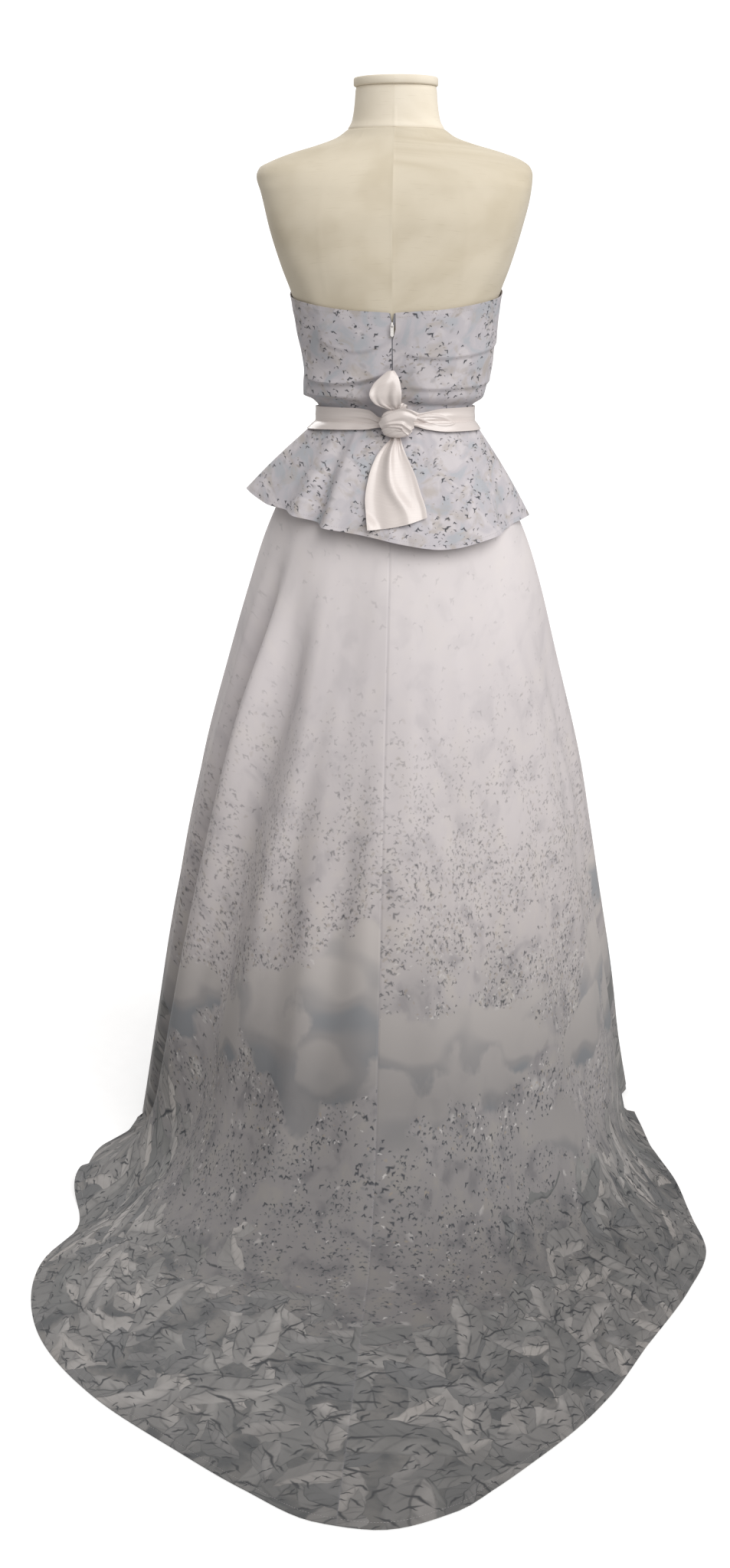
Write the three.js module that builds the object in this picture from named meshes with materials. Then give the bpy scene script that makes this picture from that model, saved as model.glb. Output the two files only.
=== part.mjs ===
// A strapless dress with a peplum, a tied satin sash and a train, on a limbless dress form.
// Millimetres, +Z up. The origin is on the floor, under the middle of the form's stand.
// The front faces -Y, and the train runs out along +Y, under the seam of the centre back.
// An angle turns from the centre back (+Y) towards the wearer's left (+X), in degrees.
// A reach is the distance from the upright axis.

import * as THREE from "three";

const CLOTH = 2;
const SEAM_GAP = 0.3;
const WAIST_SEAM_Z = 1106;
const SKIN_GAP = 0.6;

// Sizes of the dress form, its neck, its cap and its stand.

const FORM_SECTIONS = [
  { z: 860, left: 160, right: 160, back: 104, front: 84, square: 2.3 },
  { z: 900, left: 171, right: 171, back: 114, front: 90, square: 2.3 },
  { z: 940, left: 172, right: 172, back: 117, front: 90, square: 2.3 },
  { z: 1000, left: 154, right: 154, back: 106, front: 86, square: 2.2 },
  { z: 1060, left: 127, right: 127, back: 86, front: 82, square: 2.1 },
  { z: 1100, left: 116, right: 116, back: 78, front: 81, square: 2.1 },
  { z: 1131, left: 115, right: 115, back: 78, front: 83, square: 2.1 },
  { z: 1159, left: 120, right: 120, back: 83, front: 88, square: 2.1 },
  { z: 1215, left: 134, right: 134, back: 92, front: 98, square: 2.2 },
  { z: 1270, left: 151, right: 151, back: 100, front: 106, square: 2.3 },
  { z: 1297, left: 159, right: 159, back: 104, front: 107, square: 2.4 },
  { z: 1339, left: 175, right: 175, back: 108, front: 100, square: 2.6 },
  { z: 1393, left: 192, right: 192, back: 108, front: 84, square: 2.8 },
  { z: 1448, left: 205, right: 205, back: 98, front: 68, square: 2.8 },
  { z: 1472, left: 212, right: 207, back: 88, front: 58, square: 2.7 },
  { z: 1484, left: 208, right: 203, back: 80, front: 54, square: 2.5 },
  { z: 1494, left: 190, right: 190, back: 72, front: 52, square: 2.3 },
  { z: 1506, left: 158, right: 158, back: 64, front: 54, square: 2.2 },
  { z: 1517, left: 120, right: 120, back: 58, front: 58, square: 2.1 },
  { z: 1528, left: 90, right: 90, back: 53, front: 62, square: 2 },
  { z: 1539, left: 74, right: 74, back: 50, front: 64, square: 2 },
];
const NECK_SECTIONS = [
  { z: 1539.3, left: 74, right: 74, back: 50, front: 64, square: 2 },
  { z: 1552, left: 67, right: 67, back: 46, front: 64, square: 2 },
  { z: 1575, left: 63, right: 63, back: 44, front: 64, square: 2 },
  { z: 1601, left: 61, right: 61, back: 43, front: 64, square: 2 },
];
const CAP_SECTIONS = [
  { z: 1601.3, left: 59, right: 59, back: 42, front: 63, square: 2 },
  { z: 1604, left: 62, right: 61, back: 45, front: 66, square: 2 },
  { z: 1612, left: 62, right: 61, back: 45, front: 66, square: 2 },
  { z: 1615, left: 59, right: 59, back: 42, front: 63, square: 2 },
];
const BUST = { angle: 150, z: 1282, out: 24, wide: 30, tall: 52 };
const POLE = { radius: 16, from: 60.3, to: 859.7 };
const STAND_PROFILE = [
  { r: 172, z: 0 },
  { r: 172, z: 10 },
  { r: 160, z: 17 },
  { r: 60, z: 26 },
  { r: 30, z: 34 },
  { r: 26, z: 60 },
];

// Sizes of the dress. The left and right columns are the wearer's.

const BODICE_EASE = [
  { z: 1106, left: 4, right: 4 },
  { z: 1130, left: 4.6, right: 5 },
  { z: 1137, left: 10, right: 13 },
  { z: 1146, left: 18, right: 19 },
  { z: 1160, left: 18.5, right: 20 },
  { z: 1187, left: 14, right: 21 },
  { z: 1215, left: 12, right: 18 },
  { z: 1243, left: 10, right: 13 },
  { z: 1270, left: 6, right: 8 },
  { z: 1297, left: 3.4, right: 4.5 },
  { z: 1330, left: 2.8, right: 2.8 },
];
const BODICE_TOP = [
  { angle: 0, z: 1269 },
  { angle: 35, z: 1273 },
  { angle: 65, z: 1285 },
  { angle: 90, z: 1298 },
  { angle: 120, z: 1316 },
  { angle: 150, z: 1331 },
  { angle: 180, z: 1320 },
];
const BACK_EASE = 0.45;
// Each pleat's lower edge runs through three heights, between two angles.
const PLEATS = [
  { from: 2, to: 62, start: 1232, middle: 1214, end: 1240, out: 3 },
  { from: 2, to: 84, start: 1185, middle: 1166, end: 1182, out: 8 },
  { from: 20, to: 100, start: 1138, middle: 1147, end: 1144, out: 8 },
  { from: -104, to: -2, start: 1243, middle: 1207, end: 1214, out: 5 },
  { from: -110, to: -8, start: 1180, middle: 1160, end: 1162, out: 5 },
  { from: -96, to: -12, start: 1141, middle: 1136, end: 1130, out: 5 },
  { from: 96, to: 262, start: 1262, middle: 1238, end: 1256, out: 5 },
  { from: 84, to: 240, start: 1222, middle: 1196, end: 1204, out: 7 },
  { from: 104, to: 270, start: 1180, middle: 1160, end: 1176, out: 7 },
  { from: 92, to: 268, start: 1142, middle: 1138, end: 1144, out: 6 },
];
const BLOUSE = { from: 1130, full: 12, seamShare: 0.8, level: 1141 };
const PLEAT_ABOVE = 24;
const PLEAT_BELOW = 7;

const PEPLUM_HEM = [
  { angle: -180, reach: 152, z: 975 },
  { angle: -158, reach: 178, z: 972 },
  { angle: -132, reach: 170, z: 969 },
  { angle: -104, reach: 208, z: 965 },
  { angle: -86, reach: 210, z: 961 },
  { angle: -69, reach: 194, z: 951 },
  { angle: -48, reach: 206, z: 937 },
  { angle: -25, reach: 188, z: 923 },
  { angle: -8, reach: 181, z: 930 },
  { angle: 9, reach: 174, z: 941 },
  { angle: 22, reach: 178, z: 948 },
  { angle: 32, reach: 190, z: 953 },
  { angle: 41, reach: 171, z: 960 },
  { angle: 50, reach: 198, z: 969 },
  { angle: 58, reach: 191, z: 975 },
  { angle: 68, reach: 212, z: 983 },
  { angle: 81, reach: 233, z: 1003 },
  { angle: 95, reach: 216, z: 1000 },
  { angle: 110, reach: 186, z: 989 },
  { angle: 130, reach: 194, z: 982 },
  { angle: 152, reach: 162, z: 977 },
  { angle: 166, reach: 166, z: 975 },
  { angle: 180, reach: 152, z: 975 },
];
const PEPLUM_EASE = 6;
const PEPLUM_BELLY = 4;

const SKIRT_SECTIONS = [
  { z: 0, left: 408, right: 392, back: 560, front: 322, square: 2.2 },
  { z: 97, left: 392, right: 374, back: 520, front: 310, square: 2.2 },
  { z: 192, left: 377, right: 361, back: 480, front: 296, square: 2.2 },
  { z: 381, left: 346, right: 331, back: 400, front: 258, square: 2.2 },
  { z: 571, left: 308, right: 299, back: 312, front: 214, square: 2.2 },
  { z: 760, left: 257, right: 254, back: 226, front: 170, square: 2.2 },
  { z: 855, left: 229, right: 230, back: 184, front: 148, square: 2.2 },
  { z: 930, left: 205, right: 206, back: 150, front: 126, square: 2.2 },
  { z: 1000, left: 174, right: 172, back: 124, front: 106, square: 2.2 },
  { z: 1060, left: 140, right: 140, back: 98, front: 93, square: 2.1 },
  { z: 1106, left: 118.6, right: 118.6, back: 80.6, front: 83.6, square: 2.1 },
];
const HEM_CLEAR = 8;
const BEND = { z: 170, run: 190, landing: 60 };
const HANGING_STEPS = 24;
const BEND_STEPS = 12;
// How far the hem lies from the axis, at each angle. Past the skirt's own width it is a train.
const SKIRT_HEM = [
  { angle: -180, reach: 322 },
  { angle: -90, reach: 393 },
  { angle: -78, reach: 405 },
  { angle: -67, reach: 441 },
  { angle: -56, reach: 505 },
  { angle: -49, reach: 584 },
  { angle: -43, reach: 664 },
  { angle: -38, reach: 750 },
  { angle: -31, reach: 828 },
  { angle: -23, reach: 930 },
  { angle: -17, reach: 1040 },
  { angle: -14, reach: 1096 },
  { angle: -11, reach: 1150 },
  { angle: -8, reach: 1208 },
  { angle: -6, reach: 1246 },
  { angle: -2, reach: 1281 },
  { angle: 1, reach: 1270 },
  { angle: 5, reach: 1218 },
  { angle: 10, reach: 1150 },
  { angle: 17, reach: 1070 },
  { angle: 24, reach: 983 },
  { angle: 28, reach: 921 },
  { angle: 32, reach: 846 },
  { angle: 34, reach: 796 },
  { angle: 36, reach: 716 },
  { angle: 39, reach: 678 },
  { angle: 46, reach: 628 },
  { angle: 51, reach: 578 },
  { angle: 58, reach: 520 },
  { angle: 62, reach: 462 },
  { angle: 74, reach: 420 },
  { angle: 90, reach: 410 },
  { angle: 180, reach: 322 },
];
// Each fold hangs from an angle at its top to an angle at the hem. A valley has a negative depth.
const SKIRT_FOLDS = [
  { name: "left back valley", from: 960, top: 60, hem: 57, depth: -34, wide: 9 },
  { name: "left back ridge", from: 940, top: 51, hem: 49, depth: 14, wide: 8 },
  { name: "left second valley", from: 920, top: 43, hem: 34, depth: -20, wide: 8 },
  { name: "left inner ridge", from: 760, top: 32, hem: 29, depth: 10, wide: 8 },
  { name: "left inner valley", from: 660, top: 25, hem: 24, depth: -17, wide: 7.5 },
  { name: "left seam valley", from: 640, top: 10, hem: 9, depth: -11, wide: 7.5 },
  { name: "right seam valley", from: 620, top: -25, hem: -23, depth: -7, wide: 9 },
  { name: "right back ridge", from: 860, top: -50, hem: -52, depth: 9, wide: 10 },
  { name: "right back valley", from: 840, top: -63, hem: -82, depth: -15, wide: 11 },
  { name: "left front valley", from: 920, top: 112, hem: 112, depth: -18, wide: 13 },
  { name: "left front ridge", from: 900, top: 132, hem: 134, depth: 12, wide: 13 },
  { name: "middle left valley", from: 880, top: 158, hem: 157, depth: -15, wide: 14 },
  { name: "middle right valley", from: 880, top: -156, hem: -154, depth: -15, wide: 14 },
  { name: "right front ridge", from: 900, top: -130, hem: -131, depth: 12, wide: 13 },
  { name: "right front valley", from: 920, top: -108, hem: -110, depth: -16, wide: 12 },
];
const FOLD_GROWTH = 220;

const SASH_EDGES = [
  { angle: -90, low: 1094, high: 1129, lift: 0 },
  { angle: -48, low: 1093, high: 1127, lift: 0 },
  { angle: -30, low: 1097, high: 1122, lift: 1 },
  { angle: -19, low: 1102, high: 1119, lift: 3 },
  { angle: 12, low: 1100, high: 1114, lift: 3 },
  { angle: 23, low: 1097, high: 1125, lift: 1 },
  { angle: 37, low: 1096, high: 1128, lift: 0 },
  { angle: 90, low: 1095, high: 1129, lift: 0 },
];
const SASH = { over: 5.4, wall: 2, creases: 3, crease: 0.5, gap: 1.4, spans: 6 };

const KNOT = {
  x: -8,
  y: 105.9,
  z: 1106,
  wide: 48,
  deep: 23,
  tall: 42,
  round: 3,
  lumps: 3,
  lump: 0.07,
  twist: 1.6,
};
// The loop's path, up the outside and down the inside, with half the ribbon's width at each row.
const LOOP = [
  { x: -3, y: 111, z: 1127.6, half: 9 },
  { x: 6, y: 119, z: 1137, half: 20 },
  { x: 9, y: 123, z: 1150, half: 24 },
  { x: 7, y: 122, z: 1164, half: 20 },
  { x: 3, y: 118, z: 1176, half: 13 },
  { x: 0, y: 112.5, z: 1182, half: 8 },
  { x: 2, y: 108, z: 1175, half: 12 },
  { x: 6, y: 105.5, z: 1160, half: 18 },
  { x: 5, y: 105, z: 1142, half: 17 },
  { x: -3, y: 105, z: 1127.6, half: 9 },
];
const LOOP_HOLLOW = 3;
const TAIL = [
  { z: 1084, left: 1, right: -13 },
  { z: 1072, left: 13, right: -17 },
  { z: 1056, left: 24, right: -24 },
  { z: 1028, left: 34, right: -37 },
  { z: 1000, left: 38, right: -46 },
  { z: 975, left: 35, right: -54 },
  { z: 961, left: 33, right: -56 },
];
const TAIL_SHAPE = { slant: 9, over: 2.4, wave: 1.6, waves: 2, rows: 8, columns: 8 };
const RIBBON = 1.4;

const ZIP = { half: 0.9, wall: 1.3, sink: 0.5, slider: 1251, partWide: 8, spread: 12 };
const SLIDER = { wide: 2.4, tall: 8, thick: 1.8, ringIn: 1.15, ringOut: 2.2, axisOut: 1.5, off: 0.35 };
const SLIDER_SHOULDER = 0.6;
const PULL = { wide: 5, long: 17, thick: 0.9, eyeWide: 3.4, bar: 0.55, eyeTo: 3.2, corner: 2 };

const IVORY = 0xe9e4e1;
const PRINT_GREY = 0xc3c1c7;
const SKIRT_WHITE = 0xd9d4d5;
const CALICO = 0xd6cab4;
const IRON = 0x2d2d2e;
const STEEL = 0xa9aaac;
const NYLON = 0x8d8d92;

function material(color, roughness, metalness = 0) {
  return new THREE.MeshStandardMaterial({ color, roughness, metalness, side: THREE.DoubleSide });
}

const SATIN = material(IVORY, 0.35);
const PRINTED = material(PRINT_GREY, 0.8);
const SKIRTING = material(SKIRT_WHITE, 0.8);
const CANVAS = material(CALICO, 0.9);
const CAST = material(IRON, 0.6, 0.6);
const METAL = material(STEEL, 0.35, 0.9);
const COIL = material(NYLON, 0.5);

function mix(a, b, share) {
  return a + (b - a) * share;
}

function clamp01(x) {
  return Math.min(1, Math.max(0, x));
}

function ease(x) {
  const t = clamp01(x);
  return t * t * (3 - 2 * t);
}

// 1 at the middle of a fold and 0 at its edges.
function bell(x) {
  return Math.abs(x) >= 1 ? 0 : 0.5 + 0.5 * Math.cos(Math.PI * x);
}

// The slope of a table's column at row i, never steep enough to overshoot its neighbours.
function slopeAt(rows, by, key, i) {
  const rise = (k) => (rows[k + 1][key] - rows[k][key]) / (rows[k + 1][by] - rows[k][by]);
  if (i === 0) return rise(0);
  if (i === rows.length - 1) return rise(i - 1);
  const [before, after] = [rise(i - 1), rise(i)];
  return before * after <= 0 ? 0 : (2 * before * after) / (before + after);
}

// A table's column at x, as a smooth curve through its rows.
function column(rows, by, key, x) {
  const last = rows.length - 1;
  if (x <= rows[0][by]) return rows[0][key];
  if (x >= rows[last][by]) return rows[last][key];
  let i = 0;
  while (x > rows[i + 1][by]) i += 1;
  const run = rows[i + 1][by] - rows[i][by];
  const t = (x - rows[i][by]) / run;
  const [a, b] = [rows[i][key], rows[i + 1][key]];
  const [sa, sb] = [slopeAt(rows, by, key, i) * run, slopeAt(rows, by, key, i + 1) * run];
  const [t2, t3] = [t * t, t * t * t];
  return a * (2 * t3 - 3 * t2 + 1) + sa * (t3 - 2 * t2 + t) + b * (3 * t2 - 2 * t3) + sb * (t3 - t2);
}

// An angle in degrees, turned to lie from -180 to 180.
function turned(angle) {
  return angle - 360 * Math.round(angle / 360);
}

function around(reach, angle, z) {
  const a = THREE.MathUtils.degToRad(angle);
  return new THREE.Vector3(reach * Math.sin(a), reach * Math.cos(a), z);
}

// The reach of a body's or skirt's outline at a height: a rounded section, wider than it is deep.
function sectionReach(rows, z, angle) {
  const a = THREE.MathUtils.degToRad(angle);
  const [s, c] = [Math.sin(a), Math.cos(a)];
  const side = column(rows, "z", s > 0 ? "left" : "right", z);
  const depth = column(rows, "z", c > 0 ? "back" : "front", z);
  const n = column(rows, "z", "square", z);
  return (Math.abs(s / side) ** n + Math.abs(c / depth) ** n) ** (-1 / n);
}

function formReach(angle, z) {
  const off = (Math.abs(turned(angle)) - BUST.angle) / BUST.wide;
  const up = (z - BUST.z) / BUST.tall;
  return sectionReach(FORM_SECTIONS, z, angle) + BUST.out * Math.exp(-off * off - up * up);
}

// A closed wall over the surface at(u, v), which is the cloth's outer face: u turns towards +X seen
// from the back, and v runs down. Its sides stand back by half a seam's gap, unless it is a ring.
function wall(at, us, vs, thick, { ring = false, floor = -Infinity } = {}) {
  const [outer, inner] = [[], []];
  const [du, dv] = [(us.at(-1) - us[0]) * 1e-4, (vs.at(-1) - vs[0]) * 1e-4];
  const count = us.length;
  for (const v of vs) {
    us.forEach((u, i) => {
      const across = at(u + du, v).sub(at(u - du, v)).normalize();
      const along = at(u, v + dv).sub(at(u, v - dv)).normalize();
      const out = new THREE.Vector3().crossVectors(across, along).normalize();
      const p = at(u, v);
      if (!ring && i === 0) p.addScaledVector(across, SEAM_GAP / 2);
      if (!ring && i === count - 1) p.addScaledVector(across, -SEAM_GAP / 2);
      const q = p.clone().addScaledVector(out, -thick);
      q.z = Math.max(q.z, floor);
      outer.push(p);
      inner.push(q);
    });
  }
  const faces = [];
  const [inside, lastRow] = [outer.length, vs.length - 1];
  const quad = (a, b, c, d) => faces.push(a, b, c, a, c, d);
  for (let j = 0; j <= lastRow; j += 1) {
    for (let i = 0; i < (ring ? count : count - 1); i += 1) {
      const [a, b] = [j * count + i, j * count + ((i + 1) % count)];
      if (j < lastRow) {
        quad(a, b, b + count, a + count);
        quad(inside + a, inside + a + count, inside + b + count, inside + b);
      }
      if (j === 0) quad(a, inside + a, inside + b, b);
      if (j === lastRow) quad(a, b, inside + b, inside + a);
    }
    if (ring || j === lastRow) continue;
    const [first, last] = [j * count, j * count + count - 1];
    quad(first, first + count, inside + first + count, inside + first);
    quad(last, inside + last, inside + last + count, last + count);
  }
  return indexed([...outer, ...inner], faces);
}

function indexed(points, faces) {
  const geometry = new THREE.BufferGeometry().setFromPoints(points);
  geometry.setIndex(faces);
  geometry.computeVertexNormals();
  return geometry;
}

// A closed solid through level rings, each a list of as many points, with flat ends.
function loft(rings) {
  const count = rings[0].length;
  const points = rings.flat();
  const faces = [];
  for (let j = 0; j < rings.length - 1; j += 1) {
    for (let i = 0; i < count; i += 1) {
      const [a, b] = [j * count + i, j * count + ((i + 1) % count)];
      faces.push(a, a + count, b, b, a + count, b + count);
    }
  }
  const [bottom, top] = [points.length, points.length + 1];
  const lastRing = (rings.length - 1) * count;
  const middle = (ring) => ring.reduce((m, p) => m.addScaledVector(p, 1 / count), new THREE.Vector3());
  points.push(middle(rings[0]), middle(rings.at(-1)));
  for (let i = 0; i < count; i += 1) {
    const next = (i + 1) % count;
    faces.push(bottom, i, next, top, lastRing + next, lastRing + i);
  }
  return indexed(points, faces);
}

function steps(from, to, count) {
  return Array.from({ length: count + 1 }, (_, i) => mix(from, to, i / count));
}

const dress = new THREE.Group();

function add(name, geometry, finish) {
  const mesh = new THREE.Mesh(geometry, finish);
  mesh.name = name;
  dress.add(mesh);
  return mesh;
}

// The dress form: a padded torso covered in calico, with a separate neck and cap.

const FORM_COLUMNS = 36;
const TORSO_LEVELS = [
  860, 880, 910, 940, 970, 1000, 1035, 1070, 1100, 1131, 1159, 1187, 1215, 1243, 1265, 1285, 1305,
  1330, 1362, 1393, 1421, 1448, 1464, 1476, 1485, 1494, 1506, 1517, 1528, 1539,
];

function formRings(levels, reachAt) {
  const angles = steps(0, 360, FORM_COLUMNS).slice(0, -1);
  return levels.map((z) => angles.map((angle) => around(reachAt(angle, z), angle, z)));
}

add("form_torso", loft(formRings(TORSO_LEVELS, formReach)), CANVAS);
const neckReach = (angle, z) => sectionReach(NECK_SECTIONS, z, angle);
add("form_neck", loft(formRings(NECK_SECTIONS.map((row) => row.z), neckReach)), CANVAS);
const capReach = (angle, z) => sectionReach(CAP_SECTIONS, z, angle);
add("form_cap", loft(formRings(CAP_SECTIONS.map((row) => row.z), capReach)), CANVAS);

// The stand: a steel pole on a round cast foot.

const poleHeight = POLE.to - POLE.from;
const pole = new THREE.CylinderGeometry(POLE.radius, POLE.radius, poleHeight, 20);
const poleMesh = add("stand_pole", pole, METAL);
poleMesh.rotation.x = Math.PI / 2;
poleMesh.position.z = POLE.from + poleHeight / 2;
const standOutline = [
  new THREE.Vector2(0, 0),
  ...STAND_PROFILE.map(({ r, z }) => new THREE.Vector2(r, z)),
  new THREE.Vector2(0, STAND_PROFILE.at(-1).z),
];
const foot = add("stand_foot", new THREE.LatheGeometry(standOutline, 40), CAST);
foot.rotation.x = Math.PI / 2;

// The bodice: draped cloth over the form, pleated across, and open at the centre back for the zip.

function pleatOut(angle, z) {
  return PLEATS.reduce((total, pleat) => {
    const middle = (pleat.from + pleat.to) / 2;
    const share = (middle + turned(angle - middle) - pleat.from) / (pleat.to - pleat.from);
    if (share <= 0 || share >= 1) return total;
    const sag = 4 * share * (1 - share);
    const level = mix(pleat.start, pleat.end, share);
    const edge = level + (pleat.middle - (pleat.start + pleat.end) / 2) * sag;
    const above = z - edge;
    const form = above > 0 ? Math.exp(-above / PLEAT_ABOVE) : ease(1 + above / PLEAT_BELOW);
    return total + pleat.out * form * ease(5 * share) * ease(5 * (1 - share));
  }, 0);
}

function bodiceReach(angle, z) {
  const side = Math.sin(THREE.MathUtils.degToRad(angle));
  const [left, right] = ["left", "right"].map((key) => column(BODICE_EASE, "z", key, z));
  const room = mix(right, left, (1 + side) / 2) - CLOTH - SKIN_GAP;
  const held = ease((z - BLOUSE.from) / BLOUSE.full);
  const loose = room * mix(BACK_EASE, 1, Math.abs(side)) + pleatOut(angle, z) * held;
  return formReach(angle, z) + CLOTH + SKIN_GAP + loose;
}

function bodiceTop(angle) {
  return column(BODICE_TOP, "angle", "z", Math.abs(turned(angle)));
}

// The rows run level where the cloth blouses over the sash, and follow the top edge above that.
function bodiceAt(angle, share) {
  const low = (share - BLOUSE.seamShare) / (1 - BLOUSE.seamShare);
  const upper = mix(bodiceTop(angle), BLOUSE.level, share / BLOUSE.seamShare);
  const z = low > 0 ? mix(BLOUSE.level, WAIST_SEAM_Z + SEAM_GAP / 2, low) : upper;
  return around(bodiceReach(angle, z), angle, z);
}

// The back panels stand apart at the zip, closed up to the slider and parted above it.
function zipSide(share) {
  const { z } = bodiceAt(0, share);
  const parted = clamp01((z - ZIP.slider) / (bodiceTop(0) - ZIP.slider));
  return ZIP.half + SEAM_GAP / 2 + (parted * ZIP.partWide) / 2;
}

function bodiceBackAt(side) {
  return (angle, share) => {
    const point = bodiceAt(angle, share);
    point.x += side * zipSide(share) * (1 - clamp01(Math.abs(angle) / ZIP.spread));
    return point;
  };
}

const BODICE_SHARES = [...steps(0, BLOUSE.seamShare, 13), 0.835, 0.864, 0.93, 1];
add("bodice_front", wall(bodiceAt, steps(90, 270, 24), BODICE_SHARES, CLOTH), PRINTED);
add("bodice_back_left", wall(bodiceBackAt(1), steps(0, 90, 15), BODICE_SHARES, CLOTH), PRINTED);
add("bodice_back_right", wall(bodiceBackAt(-1), steps(-90, 0, 15), BODICE_SHARES, CLOTH), PRINTED);

// The zip: a narrow coil between the back panels, a slider with a ring, and a pull tab on the ring.

function zipFace(z) {
  return bodiceReach(0, z);
}

function coilAt(side, share) {
  const z = mix(ZIP.slider - SLIDER.tall / 2, WAIST_SEAM_Z + SEAM_GAP, share);
  return new THREE.Vector3(side * (ZIP.half + SEAM_GAP / 2), zipFace(z) - ZIP.sink, z);
}

add("zip_coil", wall(coilAt, [-1, 1], steps(0, 1, 6), ZIP.wall), COIL);

// The slider's outline seen from its side, with the hole of its ring: first along y, then along z.
const sliderTop = SLIDER.tall / 2;
const ringMiddle = SLIDER.thick + SLIDER.axisOut;
const sliderShape = new THREE.Shape();
sliderShape.moveTo(0, -sliderTop);
sliderShape.lineTo(SLIDER.thick * SLIDER_SHOULDER, -sliderTop);
sliderShape.lineTo(SLIDER.thick, -SLIDER.ringOut);
sliderShape.lineTo(ringMiddle, -SLIDER.ringOut);
sliderShape.absarc(ringMiddle, 0, SLIDER.ringOut, -Math.PI / 2, Math.PI / 2, false);
sliderShape.lineTo(SLIDER.thick, SLIDER.ringOut);
sliderShape.lineTo(SLIDER.thick * SLIDER_SHOULDER, sliderTop);
sliderShape.lineTo(0, sliderTop);
sliderShape.closePath();
sliderShape.holes.push(new THREE.Path().absarc(ringMiddle, 0, SLIDER.ringIn, 0, Math.PI * 2, true));

// A flat outline in (y, z), made wide along x about the middle.
function sideways(shape, wide, curveSegments) {
  const geometry = new THREE.ExtrudeGeometry(shape, { depth: wide, bevelEnabled: false, curveSegments });
  const turn = new THREE.Matrix4().makeBasis(
    new THREE.Vector3(0, 1, 0),
    new THREE.Vector3(0, 0, 1),
    new THREE.Vector3(1, 0, 0),
  );
  geometry.applyMatrix4(turn);
  geometry.translate(-wide / 2, 0, 0);
  return geometry;
}

const slope = Math.atan2(zipFace(ZIP.slider + sliderTop) - zipFace(ZIP.slider - sliderTop), SLIDER.tall);
const slider = add("zip_slider", sideways(sliderShape, SLIDER.wide, 8), METAL);
slider.rotation.x = -slope;
slider.position.set(0, zipFace(ZIP.slider) + SLIDER.off, ZIP.slider);

// The pull hangs by the bar at its top, which runs through the slider's ring.
const pullShape = new THREE.Shape();
const [pullSide, eyeSide] = [PULL.wide / 2, PULL.eyeWide / 2];
pullShape.moveTo(-pullSide, PULL.bar);
pullShape.lineTo(-pullSide, PULL.corner - PULL.long);
pullShape.lineTo(PULL.corner - pullSide, -PULL.long);
pullShape.lineTo(pullSide - PULL.corner, -PULL.long);
pullShape.lineTo(pullSide, PULL.corner - PULL.long);
pullShape.lineTo(pullSide, PULL.bar);
pullShape.closePath();
const eye = new THREE.Path();
eye.moveTo(-eyeSide, -PULL.bar);
eye.lineTo(eyeSide, -PULL.bar);
eye.lineTo(eyeSide, -PULL.eyeTo);
eye.lineTo(-eyeSide, -PULL.eyeTo);
eye.closePath();
pullShape.holes.push(eye);
const pull = new THREE.ExtrudeGeometry(pullShape, { depth: PULL.thick, bevelEnabled: false });
pull.translate(0, 0, -PULL.thick / 2);
pull.rotateX(Math.PI / 2);
const pullMesh = add("zip_pull", pull, METAL);
const hinge = new THREE.Vector3(0, ringMiddle, 0).applyEuler(slider.rotation).add(slider.position);
pullMesh.position.copy(hinge);

// The peplum: a fluted flounce from the waist seam, open at the centre back below the zip.

function peplumTop(angle) {
  return formReach(angle, WAIST_SEAM_Z) + PEPLUM_EASE;
}

function peplumReach(angle, share) {
  const hem = column(PEPLUM_HEM, "angle", "reach", turned(angle));
  return mix(peplumTop(angle), hem, share) + PEPLUM_BELLY * Math.sin(Math.PI * clamp01(share));
}

function peplumHem(angle) {
  return column(PEPLUM_HEM, "angle", "z", turned(angle));
}

function peplumAt(angle, share) {
  const z = mix(WAIST_SEAM_Z - SEAM_GAP / 2, peplumHem(angle), share);
  return around(peplumReach(angle, share), angle, z);
}

const PEPLUM_SHARES = [0, 0.1, 0.25, 0.45, 0.7, 1];
add("peplum_front", wall(peplumAt, steps(90, 270, 22), PEPLUM_SHARES, CLOTH), PRINTED);
add("peplum_back_left", wall(peplumAt, steps(0, 90, 18), PEPLUM_SHARES, CLOTH), PRINTED);
add("peplum_back_right", wall(peplumAt, steps(-90, 0, 14), PEPLUM_SHARES, CLOTH), PRINTED);

// The skirt: it hangs from the waist seam, bends at the back, and runs out over the floor.

const columns = new Map();

// One line down the skirt at an angle, as points of reach and height with the length down to each.
function skirtColumn(angle) {
  if (columns.has(angle)) return columns.get(angle);
  const foot = sectionReach(SKIRT_SECTIONS, 0, angle);
  const hem = column(SKIRT_HEM, "angle", "reach", turned(angle));
  const train = Math.max(0, hem - foot);
  const run = Math.min(BEND.run, train);
  const [bendZ, floorZ] = [(BEND.z * run) / BEND.run, mix(HEM_CLEAR, CLOTH, clamp01(run / BEND.landing))];
  const low = Math.max(bendZ, floorZ);
  const points = steps(WAIST_SEAM_Z - SEAM_GAP / 2, low, HANGING_STEPS).map((z) => ({
    r: sectionReach(SKIRT_SECTIONS, z, angle),
    z,
  }));
  const hanging = points.length - 1;
  if (bendZ > floorZ) {
    const start = points.at(-1);
    for (const t of steps(0, 1, BEND_STEPS).slice(1)) {
      const [a, b, c] = [(1 - t) * (1 - t), 2 * t * (1 - t), t * t];
      points.push({ r: a * start.r + b * foot + c * (foot + run), z: a * start.z + (b + c) * floorZ });
    }
  }
  const landed = points.length - 1;
  if (train > run) points.push({ r: hem, z: floorZ });
  let length = 0;
  points.forEach((p, i) => {
    if (i > 0) length += Math.hypot(p.r - points[i - 1].r, p.z - points[i - 1].z);
    p.down = length;
  });
  const line = { points, length, hanging: points[hanging].down, landed: points[landed].down };
  columns.set(angle, line);
  return line;
}

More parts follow.
